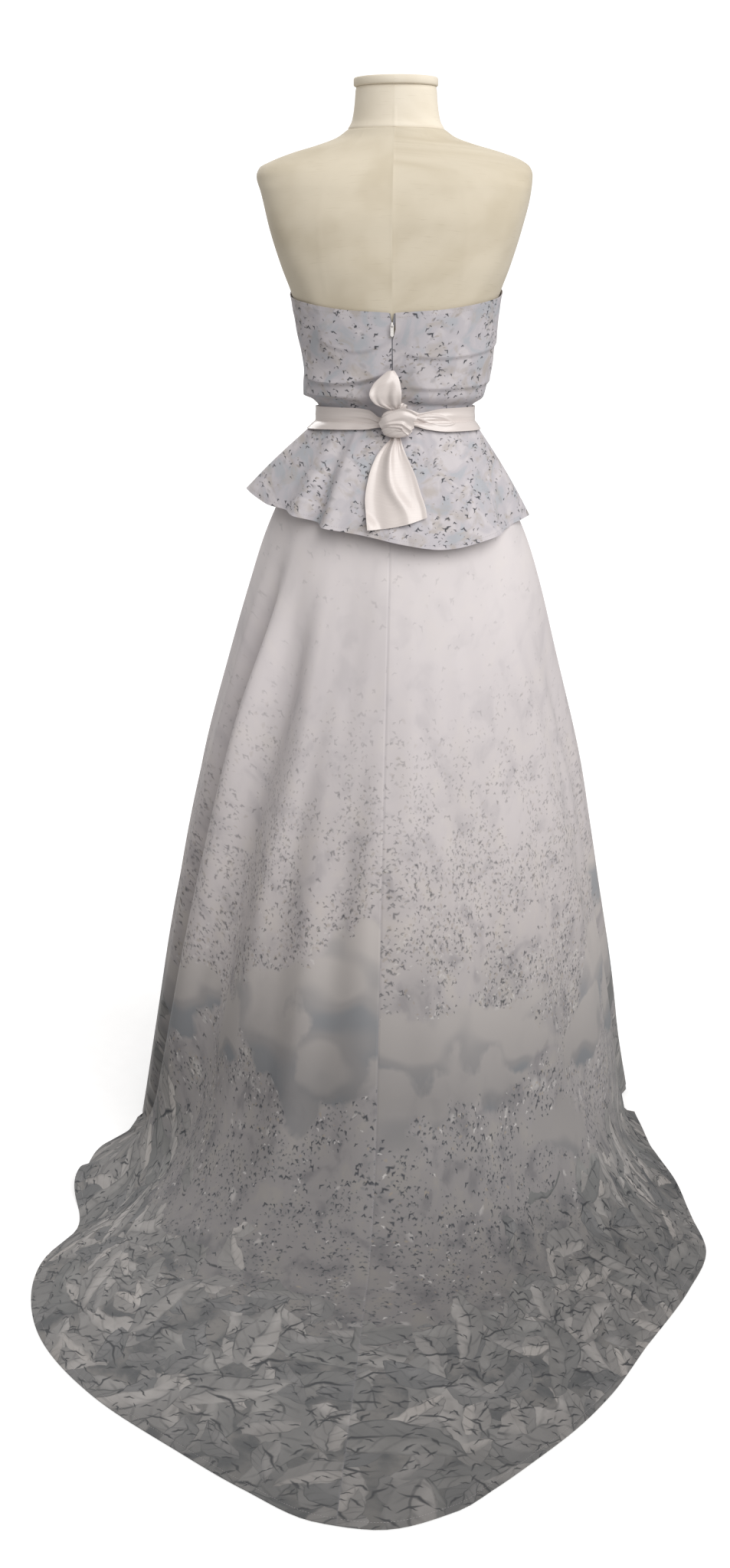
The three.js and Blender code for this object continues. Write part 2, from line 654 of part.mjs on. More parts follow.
function foldOut(angle, share, z) {
  return SKIRT_FOLDS.reduce((total, fold) => {
    const off = turned(angle - mix(fold.top, fold.hem, share)) / fold.wide;
    return total + fold.depth * ease((fold.from - z) / FOLD_GROWTH) * bell(off);
  }, 0);
}

function skirtAt(angle, share) {
  const line = skirtColumn(angle);
  const down = share * line.length;
  let i = 1;
  while (i < line.points.length - 1 && line.points[i].down < down) i += 1;
  const [a, b] = [line.points[i - 1], line.points[i]];
  const t = (down - a.down) / (b.down - a.down);
  const [reach, z] = [mix(a.r, b.r, t), mix(a.z, b.z, t)];
  const out = foldOut(angle, share, z);
  const lying = ease((down - line.hanging) / Math.max(1, line.landed - line.hanging));
  const flat = ease((down - line.landed) / Math.max(1, line.length - line.landed));
  return around(reach + out * (1 - lying), angle, z + Math.max(0, out) * lying * (1 - flat));
}

// The columns stand closer where the train and the deeper folds are.
const LEFT_COLUMNS = [...steps(0, 30, 9), ...steps(30, 62, 10).slice(1), 67, 72, 78, 84, 90];
const RIGHT_COLUMNS = [-90, -82, -75, ...steps(-69, -36, 8), ...steps(-36, 0, 10).slice(1)];
const onFloor = { floor: 0 };
add("skirt_front", wall(skirtAt, steps(90, 270, 26), steps(0, 1, 12), CLOTH, onFloor), SKIRTING);
add("skirt_back_left", wall(skirtAt, LEFT_COLUMNS, steps(0, 1, 26), CLOTH, onFloor), SKIRTING);
add("skirt_back_right", wall(skirtAt, RIGHT_COLUMNS, steps(0, 1, 25), CLOTH, onFloor), SKIRTING);

// The sash: a gathered satin band round the waist, tied behind with one loop up and one tail down.

function sashAt(angle, share) {
  const a = turned(angle);
  const z = mix(column(SASH_EDGES, "angle", "high", a), column(SASH_EDGES, "angle", "low", a), share);
  const down = (WAIST_SEAM_Z - z) / (WAIST_SEAM_Z - peplumHem(angle));
  const flutes = [-SASH.spans, 0, SASH.spans].map((turn) => peplumReach(angle + turn, Math.max(0, down)));
  const under = Math.max(formReach(angle, z) + SASH.over, ...flutes.map((reach) => (down > 0 ? reach : 0)));
  const creased = SASH.crease * (1 + Math.cos(2 * Math.PI * SASH.creases * share));
  const lift = column(SASH_EDGES, "angle", "lift", a);
  return around(under + SASH.gap + SASH.wall + lift + creased, angle, z);
}

add("sash_band", wall(sashAt, steps(0, 360, 42), steps(0, 1, 5), SASH.wall), SATIN);

function knotRing(t) {
  const size = (1 - Math.abs(t) ** KNOT.round) ** (1 / KNOT.round);
  return steps(0, 360, 20).slice(0, -1).map((angle) => {
    const a = THREE.MathUtils.degToRad(angle);
    const lump = 1 + KNOT.lump * Math.cos(KNOT.lumps * a + KNOT.twist * t * Math.PI);
    const x = KNOT.x + (KNOT.wide / 2) * size * lump * Math.sin(a);
    const y = KNOT.y + (KNOT.deep / 2) * size * lump * Math.cos(a);
    return new THREE.Vector3(x, y, KNOT.z + (t * KNOT.tall) / 2);
  });
}

add("sash_knot", loft([-0.985, -0.85, -0.6, -0.3, 0, 0.3, 0.6, 0.85, 0.985].map(knotRing)), SATIN);

const loopRows = LOOP.map((row, i) => ({ ...row, step: i }));

function loopAt(side, step) {
  const [x, y, z] = ["x", "y", "z"].map((key) => column(loopRows, "step", key, step));
  const half = column(loopRows, "step", "half", step);
  return new THREE.Vector3(x + side * half, y - LOOP_HOLLOW * side * side, z);
}

add("sash_loop", wall(loopAt, steps(-1, 1, 6), steps(0, LOOP.length - 1, 14), RIBBON), SATIN);

// A point's distance behind the axis, a little out from the peplum below it.
function overPeplum(x, z) {
  let y = KNOT.y;
  for (let i = 0; i < 8; i += 1) {
    const angle = THREE.MathUtils.radToDeg(Math.atan2(x, y));
    const share = (WAIST_SEAM_Z - z) / (WAIST_SEAM_Z - peplumHem(angle));
    y = Math.sqrt((peplumReach(angle, share) + TAIL_SHAPE.over) ** 2 - x * x);
  }
  return y;
}

function tailAt(side, share) {
  const level = mix(TAIL[0].z, TAIL.at(-1).z, share);
  const rows = [...TAIL].reverse();
  const [left, right] = [column(rows, "z", "left", level), column(rows, "z", "right", level)];
  const x = mix(left, right, (1 - side) / 2);
  const z = level - TAIL_SHAPE.slant * side * share;
  const wave = TAIL_SHAPE.wave * (1 + Math.cos(Math.PI * TAIL_SHAPE.waves * side)) * (0.3 + share);
  return new THREE.Vector3(x, overPeplum(x, z) + wave, z);
}

const tailColumns = steps(-1, 1, TAIL_SHAPE.columns);
add("sash_tail", wall(tailAt, tailColumns, steps(0, 1, TAIL_SHAPE.rows), RIBBON), SATIN);

export default dress;
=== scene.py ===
import math

import bpy
import numpy as np
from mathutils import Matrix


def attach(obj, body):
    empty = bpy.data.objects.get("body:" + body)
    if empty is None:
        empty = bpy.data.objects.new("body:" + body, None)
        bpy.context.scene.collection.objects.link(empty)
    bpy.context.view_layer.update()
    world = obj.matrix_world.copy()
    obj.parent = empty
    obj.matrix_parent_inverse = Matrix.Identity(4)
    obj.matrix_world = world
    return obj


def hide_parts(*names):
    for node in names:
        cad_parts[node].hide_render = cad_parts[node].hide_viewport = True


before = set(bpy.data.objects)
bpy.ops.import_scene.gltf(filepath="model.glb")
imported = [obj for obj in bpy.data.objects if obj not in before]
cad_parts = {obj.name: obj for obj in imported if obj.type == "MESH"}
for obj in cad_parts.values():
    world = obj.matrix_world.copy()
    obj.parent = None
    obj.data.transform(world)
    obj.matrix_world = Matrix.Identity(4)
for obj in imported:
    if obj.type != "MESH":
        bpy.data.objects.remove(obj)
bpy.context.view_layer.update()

# The torso of the dress form.
# It is a moulded body without limbs, padded, under a tight cover of cream calico. The cover is sewn
# from long panels, whose seams show as faint ridges, and it turns sharply in to the armhole plates.


def table(names, *rows):
    """A table with named columns, a row for each section, fold or edge. Lengths are millimetres."""
    return {name: np.array(values, float) for name, values in zip(names.split(), zip(*rows))}


FORM = table(
    "z left right back front square",
    (860, 160, 160, 104, 84, 2.3),
    (900, 171, 171, 114, 90, 2.3),
    (940, 172, 172, 117, 90, 2.3),
    (1000, 154, 154, 106, 86, 2.2),
    (1060, 127, 127, 86, 82, 2.1),
    (1100, 116, 116, 78, 81, 2.1),
    (1131, 115, 115, 78, 83, 2.1),
    (1159, 120, 120, 83, 88, 2.1),
    (1215, 134, 134, 92, 98, 2.2),
    (1270, 151, 151, 100, 106, 2.3),
    (1297, 159, 159, 104, 107, 2.4),
    (1339, 175, 175, 108, 100, 2.6),
    (1393, 192, 192, 108, 84, 2.8),
    (1448, 205, 205, 98, 68, 2.8),
    (1472, 212, 207, 88, 58, 2.7),
    (1484, 208, 203, 80, 54, 2.5),
    (1494, 190, 190, 72, 52, 2.3),
    (1506, 158, 158, 64, 54, 2.2),
    (1517, 120, 120, 58, 58, 2.1),
    (1528, 90, 90, 53, 62, 2),
    (1539, 74, 74, 50, 64, 2),
)
BUST_ANGLE, BUST_Z, BUST_OUT, BUST_WIDE, BUST_TALL = 150, 1282, 24, 30, 52
FORM_SEAMS = (0, 48, 90, 142, 180, 218, 270, 312)
PLATE_EDGE = 3.2


def ease(x):
    t = np.clip(x, 0, 1)
    return t * t * (3 - 2 * t)


def mix(a, b, share):
    return a + (b - a) * share


def turned(angle):
    return angle - 360 * np.round(angle / 360)


def column(rows, by, key, x):
    """A table's column at x, as a smooth curve through its rows that never overshoots them."""
    xs, ys = rows[by], rows[key]
    run = np.diff(xs)
    rise = np.diff(ys) / run
    before, after = rise[:-1], rise[1:]
    same = before * after > 0
    inner = np.where(same, 2 * before * after / np.where(same, before + after, 1), 0)
    slope = np.concatenate([rise[:1], inner, rise[-1:]])
    x = np.clip(x, xs[0], xs[-1])
    i = np.clip(np.searchsorted(xs, x, side="right") - 1, 0, len(run) - 1)
    t = (x - xs[i]) / run[i]
    ends = ys[i] * (2 * t**3 - 3 * t**2 + 1) + ys[i + 1] * (3 * t**2 - 2 * t**3)
    return ends + run[i] * (slope[i] * (t**3 - 2 * t**2 + t) + slope[i + 1] * (t**3 - t**2))


def section_reach(rows, z, angle):
    """How far an outline lies from the axis at a height: a rounded section, wider than deep."""
    s, c = np.sin(np.radians(angle)), np.cos(np.radians(angle))
    side = np.where(s > 0, column(rows, "z", "left", z), column(rows, "z", "right", z))
    depth = np.where(c > 0, column(rows, "z", "back", z), column(rows, "z", "front", z))
    n = column(rows, "z", "square", z)
    return (np.abs(s / side) ** n + np.abs(c / depth) ** n) ** (-1 / n)


def form_reach(angle, z):
    off = (np.abs(turned(angle)) - BUST_ANGLE) / BUST_WIDE
    up = (z - BUST_Z) / BUST_TALL
    plate = (np.abs(turned(angle)) - mix(56, 73, (z - 1280) / 170)) / 8
    corner = PLATE_EDGE * np.exp(-(plate**2)) * ease((z - 1180) / 80) * ease((1468 - z) / 20)
    return section_reach(FORM, z, angle) + BUST_OUT * np.exp(-(off**2) - up**2) + corner


def around(reach, angle, z):
    """Points from the axis: an angle turns from the centre back, +Y, to the wearer's left, +X."""
    a = np.radians(angle)
    return np.stack(np.broadcast_arrays(reach * np.sin(a), reach * np.cos(a), z), -1)


def linear(code):
    """An sRGB hex colour as the linear colour that a shader takes."""
    parts = [(code >> shift & 255) / 255 for shift in (16, 8, 0)]
    return (*[p / 12.92 if p <= 0.04045 else ((p + 0.055) / 1.055) ** 2.4 for p in parts], 1)


def add(tree, kind, inputs=(), **settings):
    """Adds a shader node with its settings. An input is a value, a socket or a node's output."""
    made = tree.nodes.new("ShaderNode" + kind)
    for key, value in settings.items():
        setattr(made, key, value)
    for key, value in dict(inputs).items():
        if isinstance(value, bpy.types.Node):
            value = next(out for out in value.outputs if out.enabled)
        if isinstance(value, bpy.types.NodeSocket):
            tree.links.new(value, made.inputs[key])
        else:
            made.inputs[key].default_value = value
    return made


def ramp(tree, value, stops, smooth=True):
    """A colour ramp over a value, with its stops as places and sRGB colours."""
    made = add(tree, "ValToRGB", {0: value})
    made.color_ramp.interpolation = "EASE" if smooth else "LINEAR"
    for i, (place, code) in enumerate(stops):
        spots = made.color_ramp.elements
        spot = spots[i] if i < 2 else spots.new(place)
        spot.position, spot.color = place, linear(code)
    return made


def new_material(name, roughness, sheen=0.0):
    """A material, its node tree and its main shader, with the same roughness and sheen all over."""
    made = bpy.data.materials.new(name)
    made.use_nodes = True
    shader = made.node_tree.nodes["Principled BSDF"]
    shader.inputs["Roughness"].default_value = roughness
    shader.inputs["Sheen Weight"].default_value = sheen
    shader.inputs["Sheen Roughness"].default_value = 0.4
    return made, made.node_tree, shader


def threads(tree, spot, pitch):
    """A plain weave's height: warp and weft threads, this many metres apart, over and under."""
    rows = add(tree, "TexWave", {"Vector": spot, "Scale": 1 / pitch / 2}, bands_direction="X")
    cross = add(tree, "TexWave", {"Vector": spot, "Scale": 1 / pitch / 2}, bands_direction="Y")
    return add(tree, "Math", {0: rows.outputs[1], 1: cross.outputs[1]}, operation="MULTIPLY")


def calico_cover(name, light, shade, slub):
    """Calico has a coarse plain weave, drawn here a little coarser than it is, with thick slubs."""
    made, tree, shader = new_material(name, 0.85, sheen=0.15)
    spot = add(tree, "UVMap", uv_map="cut").outputs[0]
    patches = add(tree, "TexNoise", {"Vector": spot, "Scale": 9, "Detail": 3})
    ground = ramp(tree, patches.outputs[0], [(0.3, shade), (0.6, light)])
    drawn = add(tree, "Mapping", {"Vector": spot, "Scale": (30, 420, 1)})
    slubs = add(tree, "TexNoise", {"Vector": drawn, "Scale": 1, "Detail": 2})
    thick = add(tree, "MapRange", {0: slubs.outputs[0], 1: 0.62, 2: 0.75, 4: 0.35})
    cover = add(tree, "MixRGB", {0: thick, 1: ground, 2: linear(slub)})
    tree.links.new(cover.outputs[0], shader.inputs["Base Color"])
    weave = threads(tree, spot, 0.0012)
    rough = {0: slubs.outputs[0], 1: 0.6, 2: weave.outputs[0]}
    height = add(tree, "Math", rough, operation="MULTIPLY_ADD")
    bump = add(tree, "Bump", {"Strength": 0.25, "Distance": 0.0004, "Height": height})
    tree.links.new(bump.outputs[0], shader.inputs["Normal"])
    return made


calico = calico_cover("cream calico", 0xD9CFBB, 0xCDC2AC, 0xBDB199)


def cut_map(points, from_last=False):
    """Where each point of a cloth lies in its flat cut: metres across from one side, and down."""
    across = np.linalg.norm(np.diff(points, axis=1), axis=2)
    down = np.linalg.norm(np.diff(points, axis=0), axis=2)
    across = np.pad(np.cumsum(across, axis=1), ((0, 0), (1, 0)))
    down = np.pad(np.cumsum(down, axis=0), ((1, 0), (0, 0)))
    if from_last:
        across = across[:, -1:] - across
    return np.stack([across, down], -1) / 1000


def piece(name, points, faces, maps, surface, slot, nodes, body="dress", sharp=42):
    """A mesh that rides on a body, stands for the CAD nodes and has its maps as UV layers."""
    mesh = bpy.data.meshes.new(name)
    mesh.from_pydata((points / 1000).tolist(), [], faces)
    corners = np.empty(len(mesh.loops), int)
    mesh.loops.foreach_get("vertex_index", corners)
    for label, places in maps.items():
        layer = mesh.uv_layers.new(name=label)
        layer.data.foreach_set("uv", places[corners].ravel())
    mesh.shade_smooth()
    mesh.set_sharp_from_angle(angle=math.radians(sharp))
    mesh.materials.append(surface)
    made = bpy.data.objects.new(name, mesh)
    bpy.context.scene.collection.objects.link(made)
    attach(made, body)
    if nodes:
        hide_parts(*nodes)
    return made


def block(name, rings, surface, slot, nodes, **rest):
    """A closed solid through level rings of points, bottom to top, with flat ends."""
    rows, across = rings.shape[:2]
    wide = np.concatenate([rings, rings[:, :1]], axis=1)
    place = cut_map(wide)
    points, places = wide.reshape(-1, 3), place.reshape(-1, 2)
    ids = np.arange(rows * (across + 1)).reshape(rows, across + 1)
    sides = np.stack([ids[:-1, :-1], ids[1:, :-1], ids[1:, 1:], ids[:-1, 1:]], -1).reshape(-1, 4)
    ends = [ids[0, :-1].tolist(), ids[-1, :-1][::-1].tolist()]
    made = piece(name, points, sides.tolist() + ends, {"cut": places}, surface, slot, nodes, **rest)
    weld = made.modifiers.new("weld", "WELD")
    weld.merge_threshold = 0.00001
    return made


def form_rings(levels, reach_at, count):
    angle, z = np.meshgrid(np.linspace(0, 360, count, endpoint=False), levels)
    return around(reach_at(angle, z), angle, z)


def seam_ridge(angle):
    """The faint ridges of the cover's seams, in millimetres."""
    near = np.min([np.abs(turned(angle - seam)) for seam in FORM_SEAMS], axis=0)
    return 0.35 * np.exp(-((near / 0.8) ** 2))


torso_levels = np.concatenate([np.arange(860, 1450, 8), np.arange(1450, 1539, 3.0), [1539]])
torso = form_rings(torso_levels, lambda a, z: form_reach(a, z) + seam_ridge(a) * (z > 1290), 240)
block("torso_cover", torso, calico, "form_cover", ["form_torso"], sharp=70)

# The neck and its cap.
# The neck is a short tube under a calico band, which is sewn to the torso's cover in a ring seam and
# joined at the centre back. A flat disc, covered in the same calico, closes it.

NECK = table(
    "z left right back front square",
    (1539.3, 74, 74, 50, 64, 2),
    (1552, 67, 67, 46, 64, 2),
    (1575, 63, 63, 44, 64, 2),
    (1601, 61, 61, 43, 64, 2),
)
CAP = table(
    "z left right back front square",
    (1601.3, 59, 59, 42, 63, 2),
    (1602.2, 63.2, 62.2, 46.2, 67.2, 2),
    (1603.5, 64.2, 63.2, 47.2, 68.2, 2),
    (1612, 64.2, 63.2, 47.2, 68.2, 2),
    (1614, 63, 62, 46, 67, 2),
    (1615, 58, 57, 41, 62, 2),
)


def neck_reach(angle, z):
    joined = 0.5 * np.exp(-((turned(angle) / 1.2) ** 2)) * (z < 1566)
    tucked = 1.4 * np.exp(-(((z - 1539.3) / 1.5) ** 2)) + 1.2 * ease((z - 1597) / 3)
    return section_reach(NECK, z, angle) - tucked + joined


# The neck and cap take a lighter copy of the calico: the extra lightness is painted light, standing in
# for light the lamps don't give them.
calico_painted_lighter = calico_cover("cream calico with painted light", 0xEEE5D4, 0xE4DAC7, 0xD0C5B0)


neck_levels = np.concatenate([[1539.3, 1540, 1541, 1542.5], np.linspace(1545, 1601, 20)])
block("neck_cover", form_rings(neck_levels, neck_reach, 120), calico_painted_lighter, "form_cover", ["form_neck"])
cap = form_rings(CAP["z"], lambda a, z: section_reach(CAP, z, a), 120)
block("cap_cover", cap, calico_painted_lighter, "form_cover", ["form_cap"], sharp=60)

# The stand.
# A steel tube carries the torso, on a round foot of cast iron under black paint. Both are hidden by
# the skirt, and keep their solids.

steel, tree, shader = new_material("brushed steel tube", 0.35)
shader.inputs["Metallic"].default_value = 1
turn = add(tree, "Mapping", {"Vector": add(tree, "TexCoord").outputs["Object"], "Scale": (900, 900, 8)})
lines = add(tree, "TexNoise", {"Vector": turn, "Scale": 1, "Detail": 3})
bright = ramp(tree, lines.outputs[0], [(0.3, 0x9C9DA0), (0.7, 0xC2C3C6)])
tree.links.new(bright.outputs[0], shader.inputs["Base Color"])
iron, tree, shader = new_material("black paint on cast iron", 0.45)
grains = add(tree, "TexNoise", {"Vector": add(tree, "TexCoord").outputs["Object"], "Scale": 600})
paint = ramp(tree, grains.outputs[0], [(0.3, 0x202022), (0.7, 0x2E2E30)])
tree.links.new(paint.outputs[0], shader.inputs["Base Color"])
cast = add(tree, "Bump", {"Strength": 0.4, "Distance": 0.0004, "Height": grains.outputs[0]})
tree.links.new(cast.outputs[0], shader.inputs["Normal"])
for node, metal in (("stand_pole", steel), ("stand_foot", iron)):
    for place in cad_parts[node].material_slots:
        place.material = metal

# The skirt.
# Three flared panels of printed cloth, sewn at the sides and down the centre back, hang from the waist
# seam. The two back panels bend where they meet the floor and run out over it as a train.

CLOTH = 1.0
WAIST_Z = 1106
# Half the gap at a seam, and the degrees in a radian, near enough for such a gap.
SEAM, RADIAN = 0.02, 57
SKIRT = table(
    "z left right back front square",
    (0, 408, 392, 560, 322, 2.2),
    (97, 392, 374, 520, 310, 2.2),
    (192, 377, 361, 480, 296, 2.2),
    (381, 346, 331, 400, 258, 2.2),
    (571, 308, 299, 312, 214, 2.2),
    (760, 257, 254, 226, 170, 2.2),
    (855, 229, 230, 184, 148, 2.2),
    (930, 205, 206, 150, 126, 2.2),
    (1000, 174, 172, 124, 106, 2.2),
    (1060, 140, 140, 98, 93, 2.1),
    (1106, 118.6, 118.6, 80.6, 83.6, 2.1),
)
HEM_CLEAR, LAID, TRAIN_REACH = 8, 2, 1200
BEND_Z, BEND_RUN, BEND_LANDING = 170, 190, 60
HEM = table(
    "angle reach",
    (-180, 322),
    (-90, 393),
    (-78, 405),
    (-67, 441),
    (-56, 505),
    (-49, 584),
    (-43, 664),
    (-38, 750),
    (-31, 828),
    (-23, 930),
    (-17, 1040),
    (-14, 1096),
    (-11, 1150),
    (-8, 1208),
    (-6, 1246),
    (-2, 1281),
    (1, 1270),
    (5, 1218),
    (10, 1150),
    (17, 1070),
    (24, 983),
    (28, 921),
    (32, 846),
    (34, 796),
    (36, 716),
    (39, 678),
    (46, 628),
    (51, 578),
    (58, 520),
    (62, 462),
    (74, 420),
    (90, 410),
    (180, 322),
)
# A fold starts at a height, hangs from one angle to another, and is so deep and half so wide.
FOLDS = table(
    "start top hem depth wide",
    (960, 60, 57, -34, 9),
    (880, 51, 49, 15, 8),
    (920, 44, 29, -25, 13),
    (1000, 21, 20, -10, 20),
    (700, 33, 33, 5, 7),
    (660, 24, 23, -12, 7.5),
    (640, 10, 9, -11, 7.5),
    (620, -25, -23, -7, 9),
    (860, -50, -52, 9, 10),
    (840, -63, -82, -15, 11),
    (920, 112, 112, -18, 13),
    (900, 132, 134, 12, 13),
    (880, 158, 157, -15, 14),
    (880, -156, -154, -15, 14),
    (900, -130, -131, 12, 13),
    (920, -108, -110, -16, 12),
)
FOLD_GROWTH = 220
# The clouds' middle lies so far down the cloth, and the border is so high, in metres.
CLOUDS_DOWN, BORDER_LEAST, BORDER_MOST = 0.93, 0.14, 0.44
# Half the length of cloth below the waist, in metres, and the ground's colour there.
# Its darkening down the cloth is partly the print and partly painted shade, for light falling off towards
# the floor.
SKIRT_GROUND_AND_SHADE = (
    (0.08, 0xDAD4D4),
    (0.94, 0x5E5C5B),
    (0.2, 0xCBC5C6),
    (0.3, 0xC1BBBB),
    (0.39, 0xB2ACAB),
    (0.46, 0x969291),
    (0.56, 0x817E7D),
    (0.68, 0x797675),
)
# The right panel's print starts this many metres on, so that it doesn't mirror the left one's.
RIGHT_PRINT = 4


def skirt_line(angle, shares):
    """One line down the skirt at an angle: reach and height at each share of its length, how far
    it lies on the floor, and how far it is beyond the bend."""
    foot = section_reach(SKIRT, 0.0, angle)
    hem = column(HEM, "angle", "reach", turned(angle))
    train = max(0.0, hem - foot)
    run = min(BEND_RUN, train)
    floor_z = mix(HEM_CLEAR, LAID, min(1, run / BEND_LANDING))
    low = max(BEND_Z * run / BEND_RUN, floor_z)
    z = np.linspace(WAIST_Z - SEAM, low, 90)
    reach = section_reach(SKIRT, z, angle)
    hanging = len(z) - 1
    if low > floor_z:
        t = np.linspace(0, 1, 40)[1:]
        bent = (1 - t) ** 2 * reach[-1] + 2 * t * (1 - t) * foot + t**2 * (foot + run)
        reach = np.concatenate([reach, bent])
        z = np.concatenate([z, (1 - t) ** 2 * low + (1 - (1 - t) ** 2) * floor_z])
    landed = len(z) - 1
    if train > run:
        reach, z = np.append(reach, hem), np.append(z, floor_z)
    down = np.append(0, np.cumsum(np.hypot(np.diff(reach), np.diff(z))))
    at = shares * down[-1]
    lying = ease((at - down[hanging]) / max(1, down[landed] - down[hanging]))
    flat = ease((at - down[landed]) / max(1, down[-1] - down[landed]))
    return np.interp(at, down, reach), np.interp(at, down, z), lying, flat


def ripples(angle, z):
    """The soft unevenness of hanging cloth, in millimetres, a little more towards the hem."""
    slow = 1.6 * np.sin(np.radians(angle * 11) + z / 260) + 1.1 * np.sin(np.radians(angle * 17) - z / 190)
    fine = 0.5 * np.sin(np.radians(angle * 43) + z / 90) + 0.4 * np.sin(np.radians(angle * 31) - z / 47)
    return (slow + fine) * ease((980 - z) / 500)


def skirt_points(angles, shares):
    lines = [skirt_line(angle, shares) for angle in angles]
    reach, z, lying, flat = (np.stack(part, 1) for part in zip(*lines))
    angle = np.broadcast_to(angles, z.shape)
    share = np.broadcast_to(shares[:, None], z.shape)
    out = ripples(angle, z)
    for start, top, hem, depth, wide in zip(*FOLDS.values()):
        off = np.clip(np.abs(turned(angle - mix(top, hem, share))) / wide, 0, 1)
        out = out + depth * ease((start - z) / FOLD_GROWTH) * (0.5 + 0.5 * np.cos(np.pi * off))
    up = np.maximum(0, out) * lying * (1 - flat)
    return around(reach + out * (1 - lying), angle, z + up)


def wall(name, outer, thick, place, surface, slot, nodes, ring=False, floor=None, **rest):
    """A cloth as a closed wall: its outer face is a grid of points, rows down and columns across.
    The map edge holds each point's distance from the bottom edge, and its place along it."""
    wide = np.concatenate([outer, outer[:, :1]], axis=1) if ring else outer
    if ring:
        padded = np.concatenate([outer[:, -1:], outer, outer[:, :2]], axis=1)
        across = (padded[:, 2:] - padded[:, :-2])[:, : wide.shape[1]]
    else:
        across = np.gradient(wide, axis=1)
    normal = np.cross(across, np.gradient(wide, axis=0))
    normal /= np.maximum(np.linalg.norm(normal, axis=2, keepdims=True), 1e-9)
    inner = wide - thick * normal
    if floor is not None:
        inner[..., 2] = np.maximum(inner[..., 2], floor)
    rows, cols = wide.shape[:2]
    n = rows * cols
    ids = np.arange(n).reshape(rows, cols)
    a, b, c, d = ids[:-1, :-1], ids[:-1, 1:], ids[1:, 1:], ids[1:, :-1]
    faces = [np.stack([a, b, c, d], -1), np.stack([a, d, c, b], -1) + n]
    top, low = (a[:1], b[:1]), (d[-1:], c[-1:])
    faces.append(np.stack([top[0], top[0] + n, top[1] + n, top[1]], -1))
    faces.append(np.stack([low[0], low[1], low[1] + n, low[0] + n], -1))
    if not ring:
        first, last = (a[:, :1], d[:, :1]), (b[:, -1:], c[:, -1:])
        faces.append(np.stack([first[0], first[1], first[1] + n, first[0] + n], -1))
        faces.append(np.stack([last[0], last[0] + n, last[1] + n, last[1]], -1))
    corners = np.concatenate([f.reshape(-1, 4) for f in faces]).tolist()
    down = place[..., 1]
    along = np.pad(np.cumsum(np.linalg.norm(np.diff(wide[-1], axis=0), axis=1)), (1, 0)) / 1000
    edge = np.stack([down[-1:] - down, np.broadcast_to(along, down.shape)], -1)
    maps = {"cut": place, "edge": edge}
    maps = {key: np.concatenate([each.reshape(-1, 2)] * 2) for key, each in maps.items()}
    points = np.concatenate([wide.reshape(-1, 3), inner.reshape(-1, 3)])
    made = piece(name, points, corners, maps, surface, slot, nodes, **rest)
    if ring:
        weld = made.modifiers.new("weld", "WELD")
        weld.merge_threshold = 0.00001
    return made


def stitches(name, grid, off, slot):
    """Hem stitches: small spindles of thread along a cloth's last row, this far in from its edge."""
    down = np.cumsum(np.linalg.norm(np.diff(grid[::-1], axis=0), axis=2), axis=0)
    row = np.clip((down < off).sum(axis=0), 1, len(down) - 1)
    cols = np.arange(grid.shape[1])
    share = ((off - down[row - 1, cols]) / (down[row, cols] - down[row - 1, cols]))[:, None]
    line = mix(grid[::-1][row, cols], grid[::-1][row + 1, cols], share)
    out = line - grid[-1]
    along = np.append(0, np.cumsum(np.linalg.norm(np.diff(line, axis=0), axis=1)))
    at = np.arange(STITCH_PITCH, along[-1] - STITCH_PITCH, STITCH_PITCH)
    centre, before, after, up = (
        np.stack([np.interp(place, along, side[:, i]) for i in range(3)], -1)
        for place, side in ((at, line), (at - 1, line), (at + 1, line), (at, out))
    )
    ahead = (after - before) / np.linalg.norm(after - before, axis=1, keepdims=True)
    up /= np.linalg.norm(up, axis=1, keepdims=True)
    face = np.cross(ahead, up)
    spindle = np.stack(
        [
            centre - ahead * STITCH_LONG / 2,
            centre + up * STITCH_THICK / 2,
            centre + face * STITCH_THICK / 2,
            centre - up * STITCH_THICK / 2,
            centre - face * STITCH_THICK / 2,
            centre + ahead * STITCH_LONG / 2,
        ],
        1,
    )
    sides = [(0, 1, 2), (0, 2, 3), (0, 3, 4), (0, 4, 1), (5, 2, 1), (5, 3, 2), (5, 4, 3), (5, 1, 4)]
    faces = (np.array(sides)[None] + 6 * np.arange(len(at))[:, None, None]).reshape(-1, 3)
    points = spindle.reshape(-1, 3)
    return piece(name, points, faces.tolist(), {"cut": points[:, :2] / 1000}, thread, slot, [], sharp=80)


